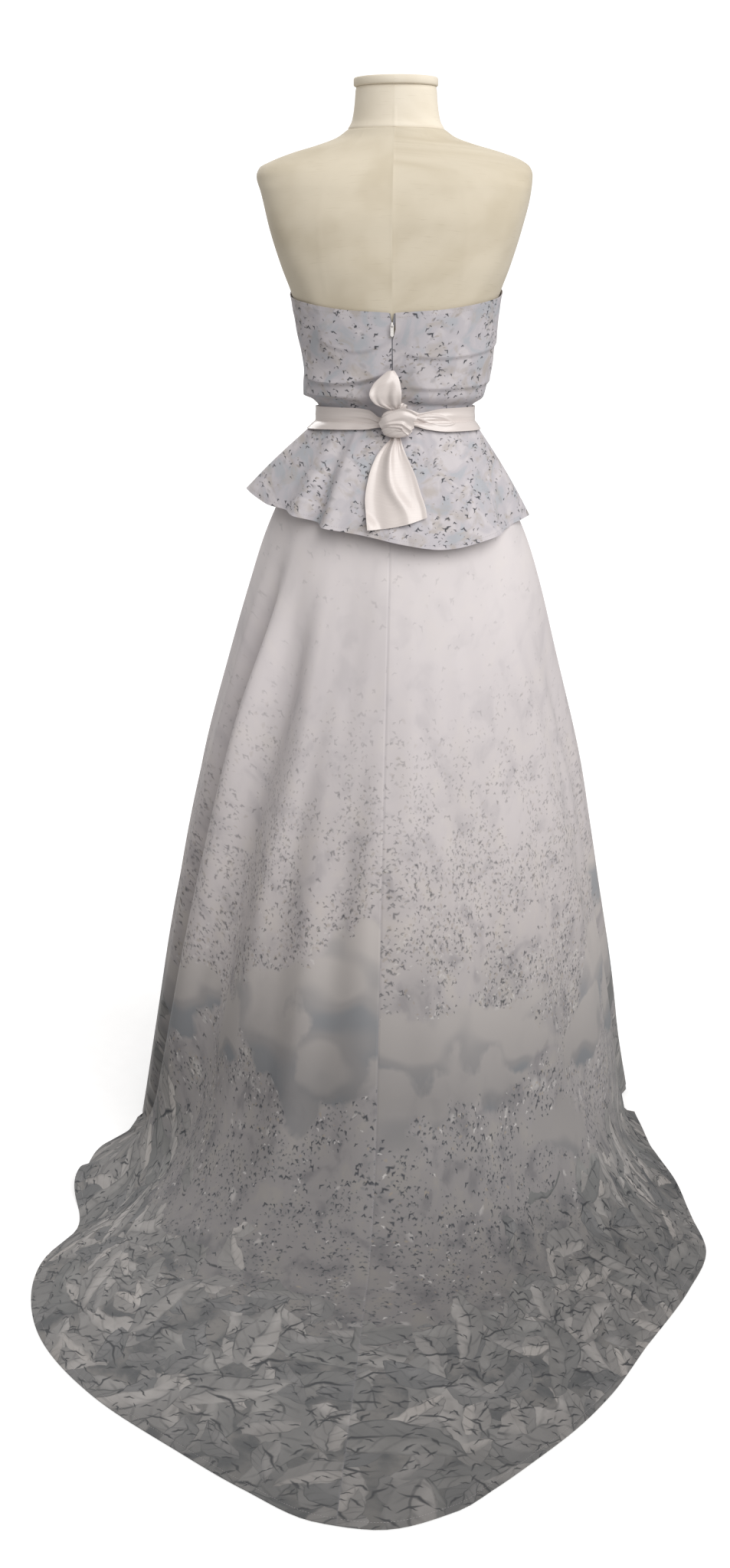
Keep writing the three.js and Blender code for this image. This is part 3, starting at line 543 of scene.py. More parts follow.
def strokes(tree, spot, cell, chance, bend, weight, shift, sizes):
    """Small brush marks, one to a cell of so many metres where the chance allows: birds in flight
    with bent wings where bend is near 1, and plain flecks where it is near 0."""
    moved = add(tree, "VectorMath", {0: spot, 1: (shift, shift * 0.7, 0)}, operation="ADD")
    wobble = add(tree, "TexNoise", {"Vector": moved, "Scale": 2.8 / cell, "Detail": 1})
    bent = add(tree, "VectorMath", {0: wobble.outputs[1], 1: (cell * 0.2,) * 3}, operation="MULTIPLY")
    moved = add(tree, "VectorMath", {0: moved, 1: bent}, operation="ADD")
    moved = add(tree, "VectorMath", {0: moved, 1: (1, 1, 0)}, operation="MULTIPLY")
    cells = add(tree, "TexVoronoi", {"Vector": moved, "Scale": 1 / cell}, voronoi_dimensions="2D")
    away = add(tree, "VectorMath", {0: moved, 1: cells.outputs["Position"]}, operation="SUBTRACT")
    luck = add(tree, "SeparateColor", {0: cells.outputs["Color"]})
    turn = add(tree, "MapRange", {0: luck.outputs[0], 3: -1.1, 4: 1.1})
    level = add(tree, "VectorRotate", {"Vector": away, "Angle": turn}, rotation_type="Z_AXIS")
    size = add(tree, "MapRange", {0: luck.outputs[2], 3: 1 / sizes[0] / cell, 4: 1 / sizes[1] / cell})
    local = add(tree, "VectorMath", {0: level, "Scale": size}, operation="SCALE")
    axes = add(tree, "SeparateXYZ", {0: local})
    out = add(tree, "Math", {0: axes.outputs[0]}, operation="ABSOLUTE")
    fall = add(tree, "Math", {0: out, 1: -0.85 * bend, 2: 1.2 * bend}, operation="MULTIPLY_ADD")
    wing = add(tree, "Math", {0: out, 1: fall}, operation="MULTIPLY")
    lift = add(tree, "Math", {0: wing, 1: 0.2 * bend}, operation="SUBTRACT")
    off = add(tree, "Math", {0: axes.outputs[1], 1: lift}, operation="SUBTRACT")
    off = add(tree, "Math", {0: off}, operation="ABSOLUTE")
    bow = add(tree, "Math", {0: out, 1: out}, operation="MULTIPLY")
    thick = add(tree, "Math", {0: bow, 1: -weight, 2: weight}, operation="MULTIPLY_ADD")
    inside = add(tree, "Math", {0: thick, 1: off}, operation="SUBTRACT")
    mark = add(tree, "MapRange", {0: inside, 1: -0.05 * weight, 2: weight * 0.75})
    here = add(tree, "Math", {0: luck.outputs[1], 1: chance}, operation="LESS_THAN")
    return add(tree, "Math", {0: mark, 1: here}, operation="MULTIPLY").outputs[0]


def leaf(tree, spot, cell, chance, shift, half, wide):
    """Broad leaves, one to a cell of so many metres: where each lies, its own share of tone, the
    broken lines drawn in it, which are its outline, midrib and veins, and its darker half."""
    moved = add(tree, "VectorMath", {0: spot, 1: (shift, shift * 0.6, 0)}, operation="ADD")
    wobble = add(tree, "TexNoise", {"Vector": moved, "Scale": 1.1 / cell, "Detail": 3})
    bent = add(tree, "VectorMath", {0: wobble.outputs[1], 1: (cell * 0.55,) * 3}, operation="MULTIPLY")
    moved = add(tree, "VectorMath", {0: moved, 1: bent}, operation="ADD")
    moved = add(tree, "VectorMath", {0: moved, 1: (1, 1, 0)}, operation="MULTIPLY")
    grain = {"Vector": moved, "Scale": 1 / cell, "Randomness": 0.8}
    cells = add(tree, "TexVoronoi", grain, voronoi_dimensions="2D")
    away = add(tree, "VectorMath", {0: moved, 1: cells.outputs["Position"]}, operation="SUBTRACT")
    luck = add(tree, "SeparateColor", {0: cells.outputs["Color"]})
    turn = add(tree, "MapRange", {0: luck.outputs[0], 3: -3.1, 4: 3.1})
    level = add(tree, "VectorRotate", {"Vector": away, "Angle": turn}, rotation_type="Z_AXIS")
    local = add(tree, "VectorMath", {0: level, "Scale": 1 / (cell * half)}, operation="SCALE")
    axes = add(tree, "SeparateXYZ", {0: local})
    along = axes.outputs[0]
    bow = add(tree, "Math", {0: along, 1: along}, operation="MULTIPLY")
    body = add(tree, "Math", {0: bow, 1: -wide, 2: wide}, operation="MULTIPLY_ADD")
    lean = add(tree, "Math", {0: bow, 1: 0.3, 2: axes.outputs[1]}, operation="MULTIPLY_ADD")
    off = add(tree, "Math", {0: lean}, operation="ABSOLUTE")
    inside = add(tree, "Math", {0: body, 1: off}, operation="SUBTRACT")
    here = add(tree, "Math", {0: luck.outputs[1], 1: chance}, operation="LESS_THAN")
    mask = add(tree, "MapRange", {0: inside, 1: 0, 2: 0.015})
    mask = add(tree, "Math", {0: mask, 1: here}, operation="MULTIPLY").outputs[0]
    slant = add(tree, "Math", {0: off, 1: -17, 2: 0}, operation="MULTIPLY_ADD")
    slant = add(tree, "Math", {0: along, 1: 21, 2: slant}, operation="MULTIPLY_ADD")
    wave = add(tree, "Math", {0: slant}, operation="SINE")
    vein = add(tree, "MapRange", {0: wave, 1: 0.6, 2: 1, 4: 0.4})
    rib = add(tree, "MapRange", {0: off, 1: 0.03, 2: 0.01, 4: 0.8})
    rim = add(tree, "MapRange", {0: inside, 1: 0.05, 2: 0.015})
    drawn = add(tree, "Math", {0: vein, 1: rib}, operation="MAXIMUM")
    drawn = add(tree, "Math", {0: drawn, 1: rim}, operation="MAXIMUM")
    drawn = add(tree, "Math", {0: drawn, 1: mask}, operation="MULTIPLY")
    worn = add(tree, "TexNoise", {"Vector": spot, "Scale": 26, "Detail": 3})
    worn = add(tree, "MapRange", {0: worn.outputs[0], 1: 0.4, 2: 0.6, 3: 0.12, 4: 1})
    drawn = add(tree, "Math", {0: drawn, 1: worn}, operation="MULTIPLY").outputs[0]
    far_half = add(tree, "MapRange", {0: lean, 1: -0.12, 2: 0.04, 4: 0.5}).outputs[0]
    return mask, luck.outputs[2], drawn, far_half


# The skirt's print is near white at the waist, with a few faint marks. Birds and flecks gather and
# darken towards the hem, over soft clouds, and a border of grey leaves runs round the train.
# The ground and the clouds also darken towards the hem, partly as print and partly as painted shade.
skirt_cloth, tree, shader = new_material("printed skirt cloth", 0.8, sheen=0.1)
spot = add(tree, "UVMap", uv_map="cut").outputs[0]
place = add(tree, "SeparateXYZ", {0: spot})
down = place.outputs[1]
seam_off = add(tree, "Math", {0: place.outputs[0], 1: RIGHT_PRINT}, operation="FLOORED_MODULO")
edge = add(tree, "SeparateXYZ", {0: add(tree, "UVMap", uv_map="edge").outputs[0]}).outputs[0]
drift = add(tree, "TexNoise", {"Vector": spot, "Scale": 4.5, "Detail": 3})
drift = add(tree, "Math", {0: drift.outputs[0], 1: 0.5}, operation="SUBTRACT")
lower = add(tree, "Math", {0: drift, 1: 0.25, 2: down}, operation="MULTIPLY_ADD")
depth = add(tree, "Math", {0: lower, 1: 0.5}, operation="MULTIPLY")
# The ground darkens down the cloth: partly the print, partly painted shade for light falling off towards
# the floor.
ground = ramp(tree, depth, list(SKIRT_GROUND_AND_SHADE), smooth=False)
mottle = add(tree, "TexNoise", {"Vector": spot, "Scale": 19, "Detail": 5, "Distortion": 0.4})
dabs = add(tree, "MapRange", {0: lower, 1: 0.3, 2: 1.2, 3: 0.18, 4: 0.9})
tones = ramp(tree, mottle.outputs[0], [(0.3, 0xC6C7CE), (0.72, 0xFFFEFA), (0.5, 0xF2F2F5)])
ground = add(tree, "MixRGB", {0: dabs, 1: ground, 2: tones}, blend_type="MULTIPLY")

# The clouds lie between the pale cloth and the birds. They are light above and grey-blue below, with
# edges that are ragged in places, and the lower ones are darker.
zone = add(tree, "Math", {0: down, 1: CLOUDS_DOWN}, operation="SUBTRACT")
zone = add(tree, "Math", {0: zone}, operation="ABSOLUTE")
zone = add(tree, "MapRange", {0: zone, 1: 0.02, 2: 0.45, 3: 0.02, 4: -0.4})
ragged = add(tree, "TexNoise", {"Vector": spot, "Scale": 14, "Detail": 4})
ragged = add(tree, "Math", {0: ragged.outputs[0], 1: 0.26, 2: -0.13}, operation="MULTIPLY_ADD")
# The lower clouds take the darker tones: partly the print, partly painted shade for light falling off
# towards the floor.
evening = add(tree, "MapRange", {0: down, 1: 0.74, 2: 1.02, 4: 1})
clear = 1
for scale, shift, rise, weak in ((2.6, 0.37, 0.07, 0.8), (3.9, 2.9, 0.05, 0.9)):
    here = add(tree, "Mapping", {"Vector": spot, "Location": (shift, 0, 0), "Scale": (1, 1.3, 1)})
    above = add(tree, "VectorMath", {0: here, 1: (0, -rise, 0)}, operation="ADD")
    puff, over = (
        add(tree, "TexNoise", {"Vector": at, "Scale": scale, "Detail": 2, "Roughness": 0.4}).outputs[0]
        for at in (here, above)
    )
    inner = add(tree, "Math", {0: puff, 1: zone}, operation="ADD")
    inner = add(tree, "Math", {0: inner, 1: ragged}, operation="ADD")
    cloud = add(tree, "MapRange", {0: inner, 1: 0.5, 2: 0.53})
    height = add(tree, "Math", {0: puff, 1: over}, operation="SUBTRACT")
    height = add(tree, "MapRange", {0: height, 1: -0.09, 2: 0.06})
    day = ramp(tree, height, [(0.05, 0x8C8E92), (0.8, 0xB7B1AE), (0.45, 0xA5A1A0)])
    night = ramp(tree, height, [(0.05, 0x66696D), (0.8, 0x807D7C), (0.45, 0x6F6E6F)])
    body = add(tree, "MixRGB", {0: evening, 1: day, 2: night})
    share = add(tree, "Math", {0: cloud, 1: weak}, operation="MULTIPLY")
    ground = add(tree, "MixRGB", {0: share, 1: ground, 2: body})
    open_sky = add(tree, "Math", {0: 1, 1: cloud}, operation="SUBTRACT")
    clear = add(tree, "Math", {0: clear, 1: open_sky}, operation="MULTIPLY")

# The marks are few and faint above, and many and dark below.
clumps = add(tree, "TexNoise", {"Vector": spot, "Scale": 11, "Detail": 4})
clump = add(tree, "MapRange", {0: clumps.outputs[0], 1: 0.4, 2: 0.53, 3: 0.06, 4: 1})
often = add(tree, "MapRange", {0: lower, 1: 0.4, 2: 0.62, 3: 0.05, 4: 0.9})
often = add(tree, "Math", {0: often, 1: clump}, operation="MULTIPLY")
often = add(tree, "Math", {0: often, 1: clear}, operation="MULTIPLY")
early = add(tree, "MapRange", {0: down, 1: 0.9, 2: 1.1, 3: 1, 4: 0.12})
early = add(tree, "Math", {0: often, 1: early}, operation="MULTIPLY")
lone = add(tree, "MapRange", {0: lower, 1: 0.25, 2: 1, 3: 0.3, 4: 0.55})
lone = add(tree, "Math", {0: lone, 1: clear}, operation="MULTIPLY")
dark = add(tree, "MapRange", {0: lower, 1: 0.4, 2: 1.1, 3: 0.16, 4: 1})
printed = ground
for cell, chance, bend, weight, shift, sizes, colour, strength in (
    (0.036, early, 0.3, 0.7, 5.3, (0.2, 0.5), 0xB4B1AF, 0.4),
    (0.016, early, 0.6, 0.4, 4.4, (0.2, 0.48), 0xC4C1BF, 0.6),
    (0.014, often, 0.4, 0.5, 9.3, (0.18, 0.46), 0x6C6C6D, 0.8),
    (0.016, early, 0.4, 0.5, 2.1, (0.2, 0.46), 0x8A8072, 0.6),
    (0.011, often, 0.5, 0.55, 8.7, (0.2, 0.48), 0x545557, 0.9),
    (0.016, often, 0.8, 0.5, 6.1, (0.2, 0.45), 0x3A3C41, 1.0),
    (0.036, lone, 1.0, 0.34, 1.3, (0.16, 0.3), 0x36383D, 1.0),
):
    mark = strokes(tree, spot, cell, chance, bend, weight, shift, sizes)
    share = add(tree, "Math", {0: mark, 1: dark}, operation="MULTIPLY")
    share = add(tree, "Math", {0: share, 1: strength}, operation="MULTIPLY")
    printed = add(tree, "MixRGB", {0: share, 1: printed, 2: linear(colour)})

# The border's leaves lie thicker towards the hem, and it is highest at the end of the train.
length = add(tree, "Math", {0: edge, 1: down}, operation="ADD")
limit = add(tree, "MapRange", {0: length, 1: 1.13, 2: 1.8, 3: BORDER_LEAST, 4: BORDER_MOST})
wander = add(tree, "TexNoise", {"Vector": spot, "Scale": 7, "Detail": 4})
limit = add(tree, "Math", {0: wander.outputs[0], 1: 0.4, 2: limit}, operation="MULTIPLY_ADD")
limit = add(tree, "Math", {0: limit, 1: 0.2}, operation="SUBTRACT")
within = add(tree, "Math", {0: limit, 1: edge}, operation="SUBTRACT")
shade = add(tree, "MapRange", {0: within, 1: -0.04, 2: 0.14, 4: 0.85})
backing = ramp(tree, mottle.outputs[0], [(0.36, 0x4C4E50), (0.66, 0x72706E)])
printed = add(tree, "MixRGB", {0: shade, 1: printed, 2: backing})
thick = add(tree, "MapRange", {0: within, 1: -0.03, 2: 0.12, 4: 0.95})
for cell, shift, half, wide, tones in (
    (0.1, 0.7, 0.74, 0.42, [(0.1, 0x757473), (0.9, 0x8E8B89)]),
    (0.16, 3.1, 0.66, 0.38, [(0.1, 0x70706F), (0.9, 0x908D8B)]),
    (0.085, 6.3, 0.66, 0.42, [(0.1, 0x686869), (0.9, 0x989491)]),
    (0.2, 8.9, 0.54, 0.34, [(0.1, 0x747372), (0.9, 0x928F8D)]),
):
    mask, luck, drawn, far_half = leaf(tree, spot, cell, thick, shift, half, wide)
    tone = ramp(tree, luck, tones)
    tone = add(tree, "MixRGB", {0: 0.6, 1: tone, 2: mottle.outputs[0]}, blend_type="SOFT_LIGHT")
    tone = add(tree, "MixRGB", {0: far_half, 1: tone, 2: linear(0x5A5B5C)})
    printed = add(tree, "MixRGB", {0: mask, 1: printed, 2: tone})
    ink = add(tree, "Math", {0: drawn, 1: 0.9}, operation="MULTIPLY")
    printed = add(tree, "MixRGB", {0: ink, 1: printed, 2: linear(0x333538)})
for cell, weight, shift, sizes in (
    (0.03, 0.22, 2.7, (0.24, 0.5)),
    (0.05, 0.15, 4.7, (0.24, 0.5)),
    (0.11, 0.09, 7.7, (0.24, 0.48)),
):
    sprigs = strokes(tree, spot, cell, thick, 0.35, weight, shift, sizes)
    printed = add(tree, "MixRGB", {0: sprigs, 1: printed, 2: linear(0x303236)})
# Darker towards the far end of the train: partly the print, partly painted shade.
train_end_print_and_shade = add(tree, "MapRange", {0: down, 1: 1.6, 2: 1.9, 3: 0, 4: 0.4})
printed = add(tree, "MixRGB", {0: train_end_print_and_shade, 1: printed, 2: linear(0x3A3A3A)})

# The centre seam and the turned hem press a fine line into the cloth.
seam = add(tree, "MapRange", {0: seam_off, 1: 0.0022, 2: 0.0004, 4: 0.12})
printed = add(tree, "MixRGB", {0: seam, 1: printed, 2: linear(0x8A8890)})
tree.links.new(printed.outputs[0], shader.inputs["Base Color"])
hem_off = add(tree, "Math", {0: edge, 1: 0.012}, operation="SUBTRACT")
hem_off = add(tree, "Math", {0: hem_off}, operation="ABSOLUTE")
hem_line = add(tree, "MapRange", {0: hem_off, 1: 0.0002, 2: 0.0012})
press = add(tree, "MapRange", {0: seam_off, 1: 0.0004, 2: 0.003})
weave = threads(tree, spot, 0.0008)
height = add(tree, "Math", {0: weave, 1: 0.12, 2: hem_line}, operation="MULTIPLY_ADD")
height = add(tree, "Math", {0: press, 1: 1.5, 2: height}, operation="MULTIPLY_ADD")
bump = add(tree, "Bump", {"Strength": 0.5, "Distance": 0.0006, "Height": height})
tree.links.new(bump.outputs[0], shader.inputs["Normal"])

# Cotton thread is two strands twisted together, in the cloth's own grey. The stitches are drawn
# thicker than they are, so that they show.
thread, tree, shader = new_material("grey cotton thread", 0.7, sheen=0.2)
twist = {"Vector": add(tree, "TexCoord").outputs["Object"], "Scale": 1400}
strands = add(tree, "TexWave", twist, bands_direction="DIAGONAL")
tone = ramp(tree, strands.outputs[1], [(0.2, 0x8B8889), (0.8, 0xADA9AA)])
tree.links.new(tone.outputs[0], shader.inputs["Base Color"])
STITCH_PITCH, STITCH_LONG, STITCH_THICK, HEM_TURN = 3.6, 2.6, 0.55, 12

shares = np.linspace(0, 1, 190)
edge_turn = SEAM / TRAIN_REACH * RADIAN
for name, start, end, every, mirrored, flat, size in (
    ("skirt_front", 90, 270, 2, False, (1.17, 1.14), 0.91),
    ("skirt_back_left", 0, 90, 1, False, (1.2, 1.89), 0.87),
    ("skirt_back_right", -90, 0, 1, True, (1.2, 1.89), 0.87),
):
    angles = np.linspace(start + edge_turn, end - edge_turn, 150)
    grid = skirt_points(angles, shares[::every])
    place = cut_map(grid, mirrored) + np.array([RIGHT_PRINT if mirrored else 0, 0])
    panel = wall(name + "_cloth", grid, CLOTH, place, skirt_cloth, "skirt_cloth", [name], floor=0)
    hem = stitches(name + "_hem_stitches", grid, HEM_TURN, "skirt_cloth")

# The bodice.
# Printed cloth is draped over a close body in soft pleats that run across from the zip and the sides.
# It blouses a little over the sash, and its top edge is turned in.

EASE = table(
    "z left right",
    (1106, 4, 4),
    (1130, 4.6, 5),
    (1137, 10, 13),
    (1146, 18, 19),
    (1160, 18.5, 20),
    (1187, 14, 21),
    (1215, 12, 18),
    (1243, 10, 13),
    (1270, 6, 8),
    (1297, 3.4, 4.5),
    (1330, 2.8, 2.8),
)
BODICE_TOP = table(
    "angle z",
    (0, 1269),
    (35, 1273),
    (65, 1285),
    (90, 1298),
    (120, 1316),
    (150, 1331),
    (180, 1320),
)
SKIN_GAP, CAD_CLOTH, BACK_EASE = 0.6, 2, 0.45
WAIST_REACH, TOP_TURN, RIGHT_BODICE = 120, 7, 2
BLOUSE_FROM, BLOUSE_FULL = 1130, 12
# A pleat's lower edge runs between two angles, through three heights, and stands out so far.
PLEATS = table(
    "start end first middle last out",
    (2, 62, 1232, 1214, 1240, 2),
    (2, 84, 1185, 1166, 1182, 7),
    (20, 100, 1138, 1147, 1144, 8),
    (-104, -2, 1243, 1207, 1214, 3),
    (-110, -8, 1180, 1160, 1162, 3.5),
    (-96, -12, 1141, 1136, 1130, 5),
    (96, 262, 1262, 1238, 1256, 5),
    (84, 240, 1222, 1196, 1204, 7),
    (104, 270, 1180, 1160, 1176, 7),
    (92, 268, 1142, 1138, 1144, 6),
)
PLEAT_ABOVE, PLEAT_BELOW = 24, 7
ZIP_HALF, ZIP_SLIDER, ZIP_PART, ZIP_SPREAD = 0.9, 1251, 8, 12
PALE, LILAC, BLUISH = 0xC9C4C7, 0xBCB8BD, 0xB0B2B8


def pleats_out(angle, z):
    total = 0
    for start, end, first, middle, last, out in zip(*PLEATS.values()):
        centre = (start + end) / 2
        share = (centre + turned(angle - centre) - start) / (end - start)
        sag = 4 * share * (1 - share)
        edge = mix(first, last, share) + (middle - (first + last) / 2) * sag
        above = z - edge
        rise, drop = np.exp(-np.maximum(above, 0) / PLEAT_ABOVE), ease(1 + above / PLEAT_BELOW)
        shape = np.where(above > 0, rise, drop)
        total = total + out * shape * ease(5 * share) * ease(5 * (1 - share))
    return total


def bodice_reach(angle, z):
    side = np.sin(np.radians(angle))
    left, right = column(EASE, "z", "left", z), column(EASE, "z", "right", z)
    room = mix(right, left, (1 + side) / 2) - CAD_CLOTH - SKIN_GAP
    held = ease((z - BLOUSE_FROM) / BLOUSE_FULL)
    loose = room * mix(BACK_EASE, 1, np.abs(side)) + pleats_out(angle, z) * held
    return form_reach(angle, z) + CAD_CLOTH + SKIN_GAP + loose


def wrinkles(angle, z):
    """Fine drag lines across the bodice, in millimetres, that rise and fall with the pleats."""
    lean = z + 10 * np.sin(np.radians(angle * 1.7)) + 5 * np.sin(np.radians(angle * 4.3) + 1)
    soft = 0.35 * np.sin(lean / 7) * (0.5 + 0.5 * np.sin(np.radians(angle * 3.1) + z / 31))
    top = column(BODICE_TOP, "angle", "z", np.abs(turned(angle)))
    return soft * ease((z - 1134) / 12) * ease((top - z) / 14)


def bodice_points(angles, rows):
    angle = np.broadcast_to(angles, (rows, len(angles)))
    top = column(BODICE_TOP, "angle", "z", np.abs(turned(angle)))
    z = mix(top, WAIST_Z + SEAM, np.linspace(0, 1, rows)[:, None])
    return around(bodice_reach(angle, z) + wrinkles(angle, z), angle, z)


# The bodice's print is grey, lilac and pale blue, dabbed together, with dark birds and flecks in
# clumps of a hand's breadth.
print_cloth, tree, shader = new_material("printed bodice cloth", 0.78, sheen=0.1)
spot = add(tree, "UVMap", uv_map="cut").outputs[0]
dabs = add(tree, "TexNoise", {"Vector": spot, "Scale": 24, "Detail": 4, "Distortion": 0.8})
ground = ramp(tree, dabs.outputs[0], [(0.36, BLUISH), (0.62, PALE), (0.48, LILAC)])
brown = add(tree, "TexNoise", {"Vector": spot, "Scale": 33, "Detail": 4, "Distortion": 1})
warm = add(tree, "MapRange", {0: brown.outputs[0], 1: 0.52, 2: 0.68, 4: 0.75})
printed = add(tree, "MixRGB", {0: warm, 1: ground, 2: linear(0xB1A9A3)})
clumps = add(tree, "TexNoise", {"Vector": spot, "Scale": 22, "Detail": 3})
clump = add(tree, "MapRange", {0: clumps.outputs[0], 1: 0.47, 2: 0.6, 3: 0.07, 4: 0.8})
lone = add(tree, "MapRange", {0: clumps.outputs[0], 1: 0.35, 2: 0.6, 3: 0.3, 4: 0.75})
for cell, chance, bend, weight, shift, sizes, colour, strength in (
    (0.024, clump, 0.3, 0.7, 5.3, (0.2, 0.48), 0xA3A0A2, 0.6),
    (0.013, clump, 0.3, 0.45, 2.1, (0.18, 0.45), 0x978D80, 0.6),
    (0.010, clump, 0.5, 0.42, 8.7, (0.18, 0.46), 0x747275, 0.85),
    (0.026, lone, 1.0, 0.3, 1.3, (0.16, 0.3), 0x404248, 1.0),
    (0.013, clump, 0.85, 0.42, 6.1, (0.2, 0.46), 0x404247, 1.0),
):
    mark = strokes(tree, spot, cell, chance, bend, weight, shift, sizes)
    share = add(tree, "Math", {0: mark, 1: strength}, operation="MULTIPLY")
    printed = add(tree, "MixRGB", {0: share, 1: printed, 2: linear(colour)})
tree.links.new(printed.outputs[0], shader.inputs["Base Color"])
weave = threads(tree, spot, 0.0008)
soft = add(tree, "TexNoise", {"Vector": spot, "Scale": 60, "Detail": 2})
height = add(tree, "Math", {0: soft.outputs[0], 1: 2, 2: weave}, operation="MULTIPLY_ADD")
bump = add(tree, "Bump", {"Strength": 0.3, "Distance": 0.0004, "Height": height})
tree.links.new(bump.outputs[0], shader.inputs["Normal"])

edge_turn = SEAM / WAIST_REACH * RADIAN
for name, start, end, count, side, flat, size in (
    ("bodice_front", 90, 270, 220, 0, (0.5, 0.27), 0.106),
    ("bodice_back_left", 0, 90, 130, 1, (0.22, 0.22), 0.04),
    ("bodice_back_right", -90, 0, 130, -1, (0.22, 0.22), 0.04),
):
    angles = np.linspace(start + (side != 1) * edge_turn, end - (side != -1) * edge_turn, count)
    grid = bodice_points(angles, 110)
    parted = np.clip((grid[:, :1, 2] - ZIP_SLIDER) / (BODICE_TOP["z"][0] - ZIP_SLIDER), 0, 1)
    near = 1 - np.clip(np.abs(angles) / ZIP_SPREAD, 0, 1)
    grid[..., 0] += side * (ZIP_HALF + 2 * SEAM + parted * ZIP_PART / 2) * near
    place = cut_map(grid, side < 0) + np.array([RIGHT_BODICE if side < 0 else 0, 0])
    panel = wall(name + "_cloth", grid, CLOTH, place, print_cloth, "printed_cloth", [name])
    hem = stitches(name + "_top_stitches", grid[::-1], TOP_TURN, "printed_cloth")

# The zip.
# A concealed zip closes the centre back: two tapes and a nylon coil, a small slider and a pull tab
# under off-white enamel. It is closed up to the slider, and its tapes part in a V above it.

COIL_SINK, COIL_DEEP, COIL_PITCH = 0.5, 1.3, 1.3
nylon, tree, shader = new_material("grey nylon coil", 0.5)
spot = add(tree, "UVMap", uv_map="cut").outputs[0]
tone = add(tree, "TexNoise", {"Vector": spot, "Scale": 300})
grey = ramp(tree, tone.outputs[0], [(0.3, 0x7E7E84), (0.7, 0x98989E)])
tree.links.new(grey.outputs[0], shader.inputs["Base Color"])
enamel, tree, shader = new_material("off-white enamel", 0.3)
chips = add(tree, "TexNoise", {"Vector": add(tree, "TexCoord").outputs["Object"], "Scale": 900})
coat = ramp(tree, chips.outputs[0], [(0.3, 0xE0DCD8), (0.7, 0xF0EDEA)])
tree.links.new(coat.outputs[0], shader.inputs["Base Color"])
for node in ("zip_slider", "zip_pull"):
    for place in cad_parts[node].material_slots:
        place.material = enamel

z = np.arange(ZIP_SLIDER - 4, WAIST_Z + 2 * SEAM, -COIL_PITCH / 4)[:, None]
side = np.linspace(-1, 1, 7)
teeth = 0.22 * np.cos(2 * np.pi * (z / COIL_PITCH + 0.25 * np.sign(side)))
out = bodice_reach(0.0, z) - COIL_SINK - 0.22 - 0.3 * side**2 + teeth
coil = np.stack(np.broadcast_arrays(side * ZIP_HALF, out, z), -1)
wall("zip_coil_teeth", coil, COIL_DEEP - 0.6, cut_map(coil), nylon, "zip_nylon", ["zip_coil"])
z = np.linspace(BODICE_TOP["z"][0] - 1, ZIP_SLIDER - 3, 24)[:, None]
parted = np.clip((z - ZIP_SLIDER) / (BODICE_TOP["z"][0] - ZIP_SLIDER), 0, 1)
for name, side in (("zip_tape_left", 1), ("zip_tape_right", -1)):
    inner = side * (ZIP_HALF * 0.3 + parted * ZIP_PART / 2 - parted * 1.2)
    x = inner + np.linspace(0, 3.2, 5) if side > 0 else inner + np.linspace(-3.2, 0, 5)
    tape = np.stack(np.broadcast_arrays(x, bodice_reach(0.0, z) - 1.5, z), -1)
    wall(name, tape, 0.4, cut_map(tape), nylon, "zip_nylon", [])

# The peplum.
# A flounce of the same cloth, cut on a curve so that its hem falls in flutes. It is let into the
# waist seam over the skirt, and dips at the centre back.

PEPLUM = table(
    "angle reach z",
    (-180, 152, 975),
    (-158, 178, 972),
    (-132, 170, 969),
    (-104, 208, 965),
    (-86, 210, 961),
    (-69, 194, 951),
    (-48, 206, 937),
    (-25, 188, 923),
    (-8, 181, 930),
    (9, 174, 941),
    (22, 178, 948),
    (32, 190, 953),
    (41, 171, 960),
    (50, 198, 969),
    (58, 191, 975),
    (68, 212, 983),
    (81, 233, 1003),
    (95, 216, 1000),
    (110, 186, 989),
    (130, 194, 982),
    (152, 162, 977),
    (166, 166, 975),
    (180, 152, 975),
)
PEPLUM_EASE, PEPLUM_BELLY, PEPLUM_TURN = 6, 4, 6
LEFT_PEPLUM, RIGHT_PEPLUM = 0.4, 3.4


def peplum_reach(angle, share):
    top = form_reach(angle, WAIST_Z) + PEPLUM_EASE
    hem = column(PEPLUM, "angle", "reach", turned(angle))
    return mix(top, hem, share) + PEPLUM_BELLY * np.sin(np.pi * np.clip(share, 0, 1))


def peplum_hem(angle):
    return column(PEPLUM, "angle", "z", turned(angle))


def peplum_points(angles, rows):
    share = np.linspace(0, 1, rows)[:, None]
    z = mix(WAIST_Z - SEAM, peplum_hem(angles), share)
    angle = np.broadcast_to(angles, z.shape)
    flutter = 0.8 * np.sin(np.radians(angle * 19)) * share
    flutter = flutter + 0.5 * np.sin(np.radians(angle * 33) + 2) * share
    gathers = 0.5 * np.sin(np.radians(angle * 47)) * np.exp(-((share * 4) ** 2))
    return around(peplum_reach(angle, share) + flutter + gathers, angle, z)


for name, start, end, count, mirrored, flat, size in (
    ("peplum_front", 90, 270, 200, False, (0.6, 0.19), 0.076),
    ("peplum_back_left", 0, 90, 130, False, (0.34, 0.21), 0.045),
    ("peplum_back_right", -90, 0, 130, True, (0.34, 0.21), 0.045),
):
    grid = peplum_points(np.linspace(start + edge_turn, end - edge_turn, count), 60)
    shifted = cut_map(grid, mirrored) + np.array([RIGHT_PEPLUM if mirrored else LEFT_PEPLUM, 0.5])
    panel = wall(name + "_cloth", grid, CLOTH, shifted, print_cloth, "printed_cloth", [name])
    hem = stitches(name + "_hem_stitches", grid, PEPLUM_TURN, "printed_cloth")

# The sash.
# One strip of ivory satin goes round the waist over both seams, is drawn in to folds at the centre
# back, and is tied in a half bow: a knot, one loop that stands up and one tail that hangs down.

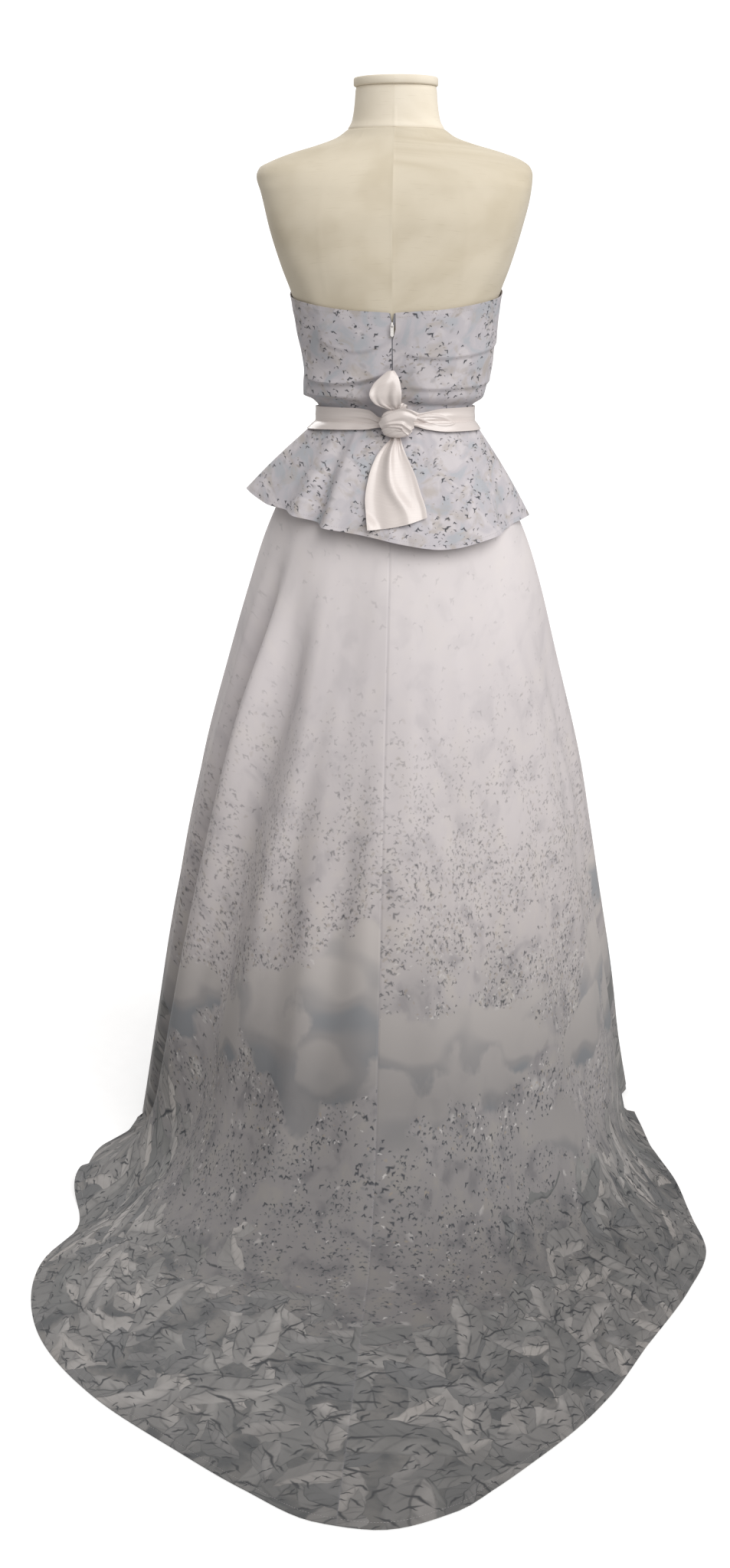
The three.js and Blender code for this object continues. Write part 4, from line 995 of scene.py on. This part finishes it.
SASH_EDGES = table(
    "angle low high lift",
    (-90, 1094, 1129, 0),
    (-48, 1093, 1127, 0),
    (-30, 1097, 1122, 1),
    (-19, 1102, 1119, 3),
    (12, 1100, 1114, 3),
    (23, 1097, 1125, 1),
    (37, 1096, 1128, 0),
    (90, 1095, 1129, 0),
)
SASH_OVER, SASH_WALL, SASH_GAP, SASH_SPANS = 5.4, 1.2, 1.4, 6
RIBBON = 0.9
KNOT = {"x": -8, "y": 105.9, "z": 1106, "wide": 48, "deep": 23, "tall": 42, "round": 3}
LOOP = table(
    "step x y z half",
    (0, -3, 111, 1127.6, 9),
    (1, 6, 119, 1137, 20),
    (2, 9, 123, 1150, 24),
    (3, 7, 122, 1164, 20),
    (4, 3, 118, 1176, 12),
    (5, 1, 112.5, 1184, 4),
    (6, 2, 108, 1175, 11),
    (7, 6, 105.5, 1160, 18),
    (8, 5, 105, 1142, 17),
    (9, -3, 105, 1127.6, 9),
)
TAIL = table(
    "z left right",
    (961, 33, -56),
    (975, 35, -54),
    (1000, 38, -46),
    (1028, 34, -37),
    (1056, 24, -24),
    (1072, 13, -17),
    (1084, 2, -13),
    (1090, 0, -11),
)
TAIL_SLANT, TAIL_OVER = 9, 2.4

# Satin is smooth and bright, with long faint streaks along its threads.
satin, tree, shader = new_material("ivory satin", 0.3, sheen=0.1)
shader.inputs["Specular IOR Level"].default_value = 0.9
spot = add(tree, "UVMap", uv_map="cut").outputs[0]
drawn = add(tree, "Mapping", {"Vector": spot, "Scale": (12, 700, 1)})
streaks = add(tree, "TexNoise", {"Vector": drawn, "Scale": 1, "Detail": 3})
tone = ramp(tree, streaks.outputs[0], [(0.3, 0xD4CBC7), (0.7, 0xD9D0CC)])
tree.links.new(tone.outputs[0], shader.inputs["Base Color"])
gloss = add(tree, "MapRange", {0: streaks.outputs[0], 3: 0.25, 4: 0.28})
tree.links.new(gloss.outputs[0], shader.inputs["Roughness"])
weave = threads(tree, spot, 0.0006)
height = add(tree, "Math", {0: streaks.outputs[0], 1: 1, 2: weave}, operation="MULTIPLY_ADD")
bump = add(tree, "Bump", {"Strength": 0.02, "Distance": 0.0002, "Height": height})
tree.links.new(bump.outputs[0], shader.inputs["Normal"])

angle = np.linspace(0, 360, 420, endpoint=False)
a, share = turned(angle), np.linspace(0, 1, 40)[:, None]
low, high, lift = (column(SASH_EDGES, "angle", key, a) for key in ("low", "high", "lift"))
z = mix(high, low, share)
down = (WAIST_Z - z) / (WAIST_Z - peplum_hem(angle))
flutes = [peplum_reach(angle + turn, np.maximum(0, down)) for turn in (-SASH_SPANS, 0, SASH_SPANS)]
under = np.maximum(form_reach(angle, z) + SASH_OVER, np.where(down > 0, np.max(flutes, axis=0), 0))
near = np.exp(-((a + 4) / 38) ** 2)
sway = 0.12 * np.sin(np.radians(a * 5))
creases = (0.4 + 1.5 * near) * (1 + np.cos(2 * np.pi * (2.5 * share + sway)))
creases = creases + 0.9 * near * (1 + np.cos(2 * np.pi * 6 * share + a / 9)) * np.sin(np.pi * share)
# On the right a turned-over part of the strip lies on it, in the shape of a leaf.
run = np.clip((-22 - a) / 34, 0, 1)
inside = 0.3 * np.sqrt(np.sin(np.pi * run)) - np.abs(share - mix(0.3, 0.62, run))
turned_over = 2.6 * ease(inside / 0.09) - 1.2 * ease((inside - 0.12) / 0.1)
band = around(under + SASH_GAP + 2 + lift + creases * 0.6 + turned_over, angle, z)
wide = np.concatenate([band, band[:, :1]], axis=1)
sash = wall("sash_band_satin", band, SASH_WALL, cut_map(wide), satin, "satin", ["sash_band"], ring=True)

t = np.linspace(-0.995, 0.995, 60)[:, None]
a = np.radians(np.linspace(0, 360, 90, endpoint=False))
size = (1 - np.abs(t) ** KNOT["round"]) ** (1 / KNOT["round"])
lump = 1 + 0.05 * np.cos(3 * a + 1.6 * t * np.pi)
x = KNOT["wide"] / 2 * size * lump * np.sin(a)
y = KNOT["deep"] / 2 * size * lump * np.cos(a)
z = np.broadcast_to(t * KNOT["tall"] / 2, x.shape)
across = x * math.sin(0.45) + z * math.cos(0.45)
pleat = 0.8 * np.cos(2 * np.pi * across / 7.5 + 0.6 * np.sin(x / 6))
pleat = pleat + 0.5 * np.cos(2 * np.pi * across / 3.4)
groove = -2.4 * np.exp(-(((across + 9) / 2.2) ** 2)) - 1.6 * np.exp(-(((across - 12) / 2.0) ** 2))
swell = 1 + (pleat + groove) / 24 * np.clip(size * 1.4, 0, 1)
knot = np.stack([KNOT["x"] + x * swell, KNOT["y"] + y * swell, KNOT["z"] + z * 0.995], -1)
block("sash_knot_satin", knot, satin, "satin", ["sash_knot"], sharp=80)

step = np.linspace(0, 9, 90)[:, None]
side = np.linspace(-1, 1, 33)
middle = [column(LOOP, "step", key, step) for key in ("x", "y", "z", "half")]
outer_limb = ease((5.4 - step) / 0.8)
base = np.exp(-((np.minimum(step, 9 - step) / 1.5) ** 2))
valley = -6 * np.exp(-(((side - 0.1 + 0.12 * step) / 0.26) ** 2)) * np.exp(-(((step - 1.2) / 1.5) ** 2))
curl = 5 * ease((side - 0.55) / 0.45) * np.exp(-(((step - 1.6) / 1.1) ** 2))
fold = outer_limb * (valley + curl + 1.2 * base * np.cos(4 * np.pi * side))
belly = -3.5 * side**2 + fold * ease(step / 0.4)
loop = np.stack(np.broadcast_arrays(middle[0] + side * middle[3], middle[1] + belly, middle[2]), -1)
loop = wall("sash_loop_satin", loop, RIBBON, cut_map(loop), satin, "satin", ["sash_loop"])

# The strip's last turn wraps the knot from its lower left, and ends at its right in a pleated fan. A
# tuft of the same strip stands out above it.
FAN_PATH = ((17, 111, 1101), (3, 119.5, 1108), (-16, 120, 1112), (-33, 114, 1105))
TUFT_PATH = ((-10, 111, 1121), (-13, 114, 1127), (-16, 115, 1132), (-18, 114, 1136))
for name, path, halves, folds, deep in (
    ("sash_fan_satin", FAN_PATH, (7, 12, 17, 19), 1.8, 1.2),
    ("sash_tuft_satin", TUFT_PATH, (4, 5, 6, 6), 1.6, 1),
):
    steps = np.linspace(0, 3, 40)[:, None]
    side = np.linspace(-1, 1, 61)
    knots = {"step": np.arange(4.0), "half": np.array(halves, float)}
    knots |= {key: np.array(values, float) for key, values in zip("xyz", zip(*path))}
    x, y, z, half = (column(knots, "step", key, steps) for key in ("x", "y", "z", "half"))
    run = np.gradient(x[:, 0]), np.gradient(z[:, 0])
    size = np.hypot(*run)
    across = np.stack([-run[1] / size, run[0] / size])
    across = across * np.where(across[1] < 0, -1, 1) if name == "sash_fan_satin" else across
    uneven = folds * (side + 0.16 * np.sin(3.1 * side + steps)) + 0.2 * steps
    pleat = deep * (np.cos(2 * np.pi * uneven) * ease(steps / 1.8) + 0.5 * np.cos(5.3 * side + steps))
    scallop = 1.3 * np.cos(2 * np.pi * folds * side) * ease(steps - 2) * np.sign(run[0][-1])
    ribbon = [
        x + across[0][:, None] * side * half + scallop,
        y - 3.5 * side**2 * (1 - 0.5 * steps / 3) + pleat,
        z + across[1][:, None] * side * half,
    ]
    ribbon = np.stack(np.broadcast_arrays(*ribbon), -1)[:, ::-1]
    wall(name, ribbon, RIBBON, cut_map(ribbon), satin, "satin", [])

share = np.linspace(0, 1, 90)[:, None]
side = np.linspace(-1, 1, 49)
level = mix(TAIL["z"][-1], TAIL["z"][0], share)
left, right = column(TAIL, "z", "left", level), column(TAIL, "z", "right", level)
x = mix(left, right, (1 - side) / 2)
z = level - (TAIL_SLANT * side + 4 * (1 - side**2)) * share**2
y = np.full(x.shape, float(KNOT["y"]))
for _ in range(8):
    angle = np.degrees(np.arctan2(x, y))
    gone = (WAIST_Z - z) / (WAIST_Z - peplum_hem(angle))
    y = np.sqrt((peplum_reach(angle, gone) + TAIL_OVER) ** 2 - x**2)
crest = 9 * np.exp(-(((side - 0.1 + 0.55 * ease((share - 0.45) / 0.5)) / 0.24) ** 2)) * (1 - 0.45 * share)
dip = -2.4 * np.exp(-(((side - 0.62) / 0.26) ** 2)) - 1.6 * np.exp(-(((side + 0.55) / 0.25) ** 2))
low = ease((share - 0.62) / 0.38)
curl = 7 * ease((side - 1.35 + 0.85 * low) / 0.4) * low + 3 * ease((-side - 0.8) / 0.2) * share
wave = 2.4 + crest + dip + curl + 0.7 * np.cos(7 * np.pi * side) * np.exp(-((share / 0.22) ** 2))
tail = np.stack([x, y + wave, z], -1)
tail = wall("sash_tail_satin", tail, RIBBON, cut_map(tail), satin, "satin", ["sash_tail"])

# The studio.
# Pale paper makes the floor and rises all round, far out. It takes light but gives none back, so the
# dress keeps its shades. A soft lamp stands high at the camera's right, and a weak one in front.

floor, tree, shader = new_material("pale studio paper", 0.9)
shader.inputs["Specular IOR Level"].default_value = 0
fibres = add(tree, "TexNoise", {"Vector": add(tree, "TexCoord").outputs["Object"], "Scale": 40})
paper = ramp(tree, fibres.outputs[0], [(0.3, 0xD2D2D2), (0.7, 0xD6D6D6)])
tree.links.new(paper.outputs[0], shader.inputs["Base Color"])
shader.inputs["Emission Color"].default_value = (1, 1, 1, 1)
shader.inputs["Emission Strength"].default_value = 0.5
bend = np.radians(np.linspace(0, 90, 16))
radius = np.concatenate([[0.01], 5 + 3 * np.sin(bend), [8]])
height = np.concatenate([[0], 3 - 3 * np.cos(bend), [7]])
turns = np.radians(np.linspace(0, 360, 96, endpoint=False))
bowl = [(r * math.sin(a), r * math.cos(a), h) for r, h in zip(radius, height) for a in turns]
rows = np.arange(len(bowl)).reshape(len(radius), len(turns))
ahead = np.roll(rows, -1, axis=1)
faces = np.stack([rows[:-1], rows[1:], ahead[1:], ahead[:-1]], -1).reshape(-1, 4)
mesh = bpy.data.meshes.new("studio_paper")
mesh.from_pydata(bowl, [], [*faces.tolist(), rows[0].tolist()])
mesh.shade_smooth()
mesh.materials.append(floor)
studio = bpy.data.objects.new("studio_paper", mesh)
studio.visible_diffuse = studio.visible_glossy = studio.visible_shadow = False
bpy.context.scene.collection.objects.link(studio)

for name, across, up, spread, power, tint in (
    ("key_lamp", 221, 33, 66, 2.52, (1, 0.99, 0.98)),
    ("front_lamp", 30, 35, 40, 1.1, (1, 0.99, 0.98)),
):
    lamp = bpy.data.lights.new(name, "SUN")
    lamp.angle, lamp.energy, lamp.color = math.radians(spread), power, tint
    made = bpy.data.objects.new(name, lamp)
    made.rotation_euler = (math.radians(90 - up), 0, math.radians(across))
    bpy.context.scene.collection.objects.link(made)

room = bpy.data.worlds.new("studio_room")
room.use_nodes = True
room.node_tree.nodes["Background"].inputs["Color"].default_value = (1, 0.98, 0.96, 1)
room.node_tree.nodes["Background"].inputs["Strength"].default_value = 0.45
bpy.context.scene.world = room
bpy.context.scene.view_settings.view_transform = "Standard"

view = bpy.data.cameras.new("camera")
view.sensor_width = 36
view.lens = 2638 / 2048 * 36
camera = bpy.data.objects.new("camera", view)
camera.location = (-0.1485, 3.1969, 1.25)
camera.rotation_euler = (math.radians(90 - 12.78), 0, math.radians(183.5))
bpy.context.scene.collection.objects.link(camera)
bpy.context.scene.camera = camera
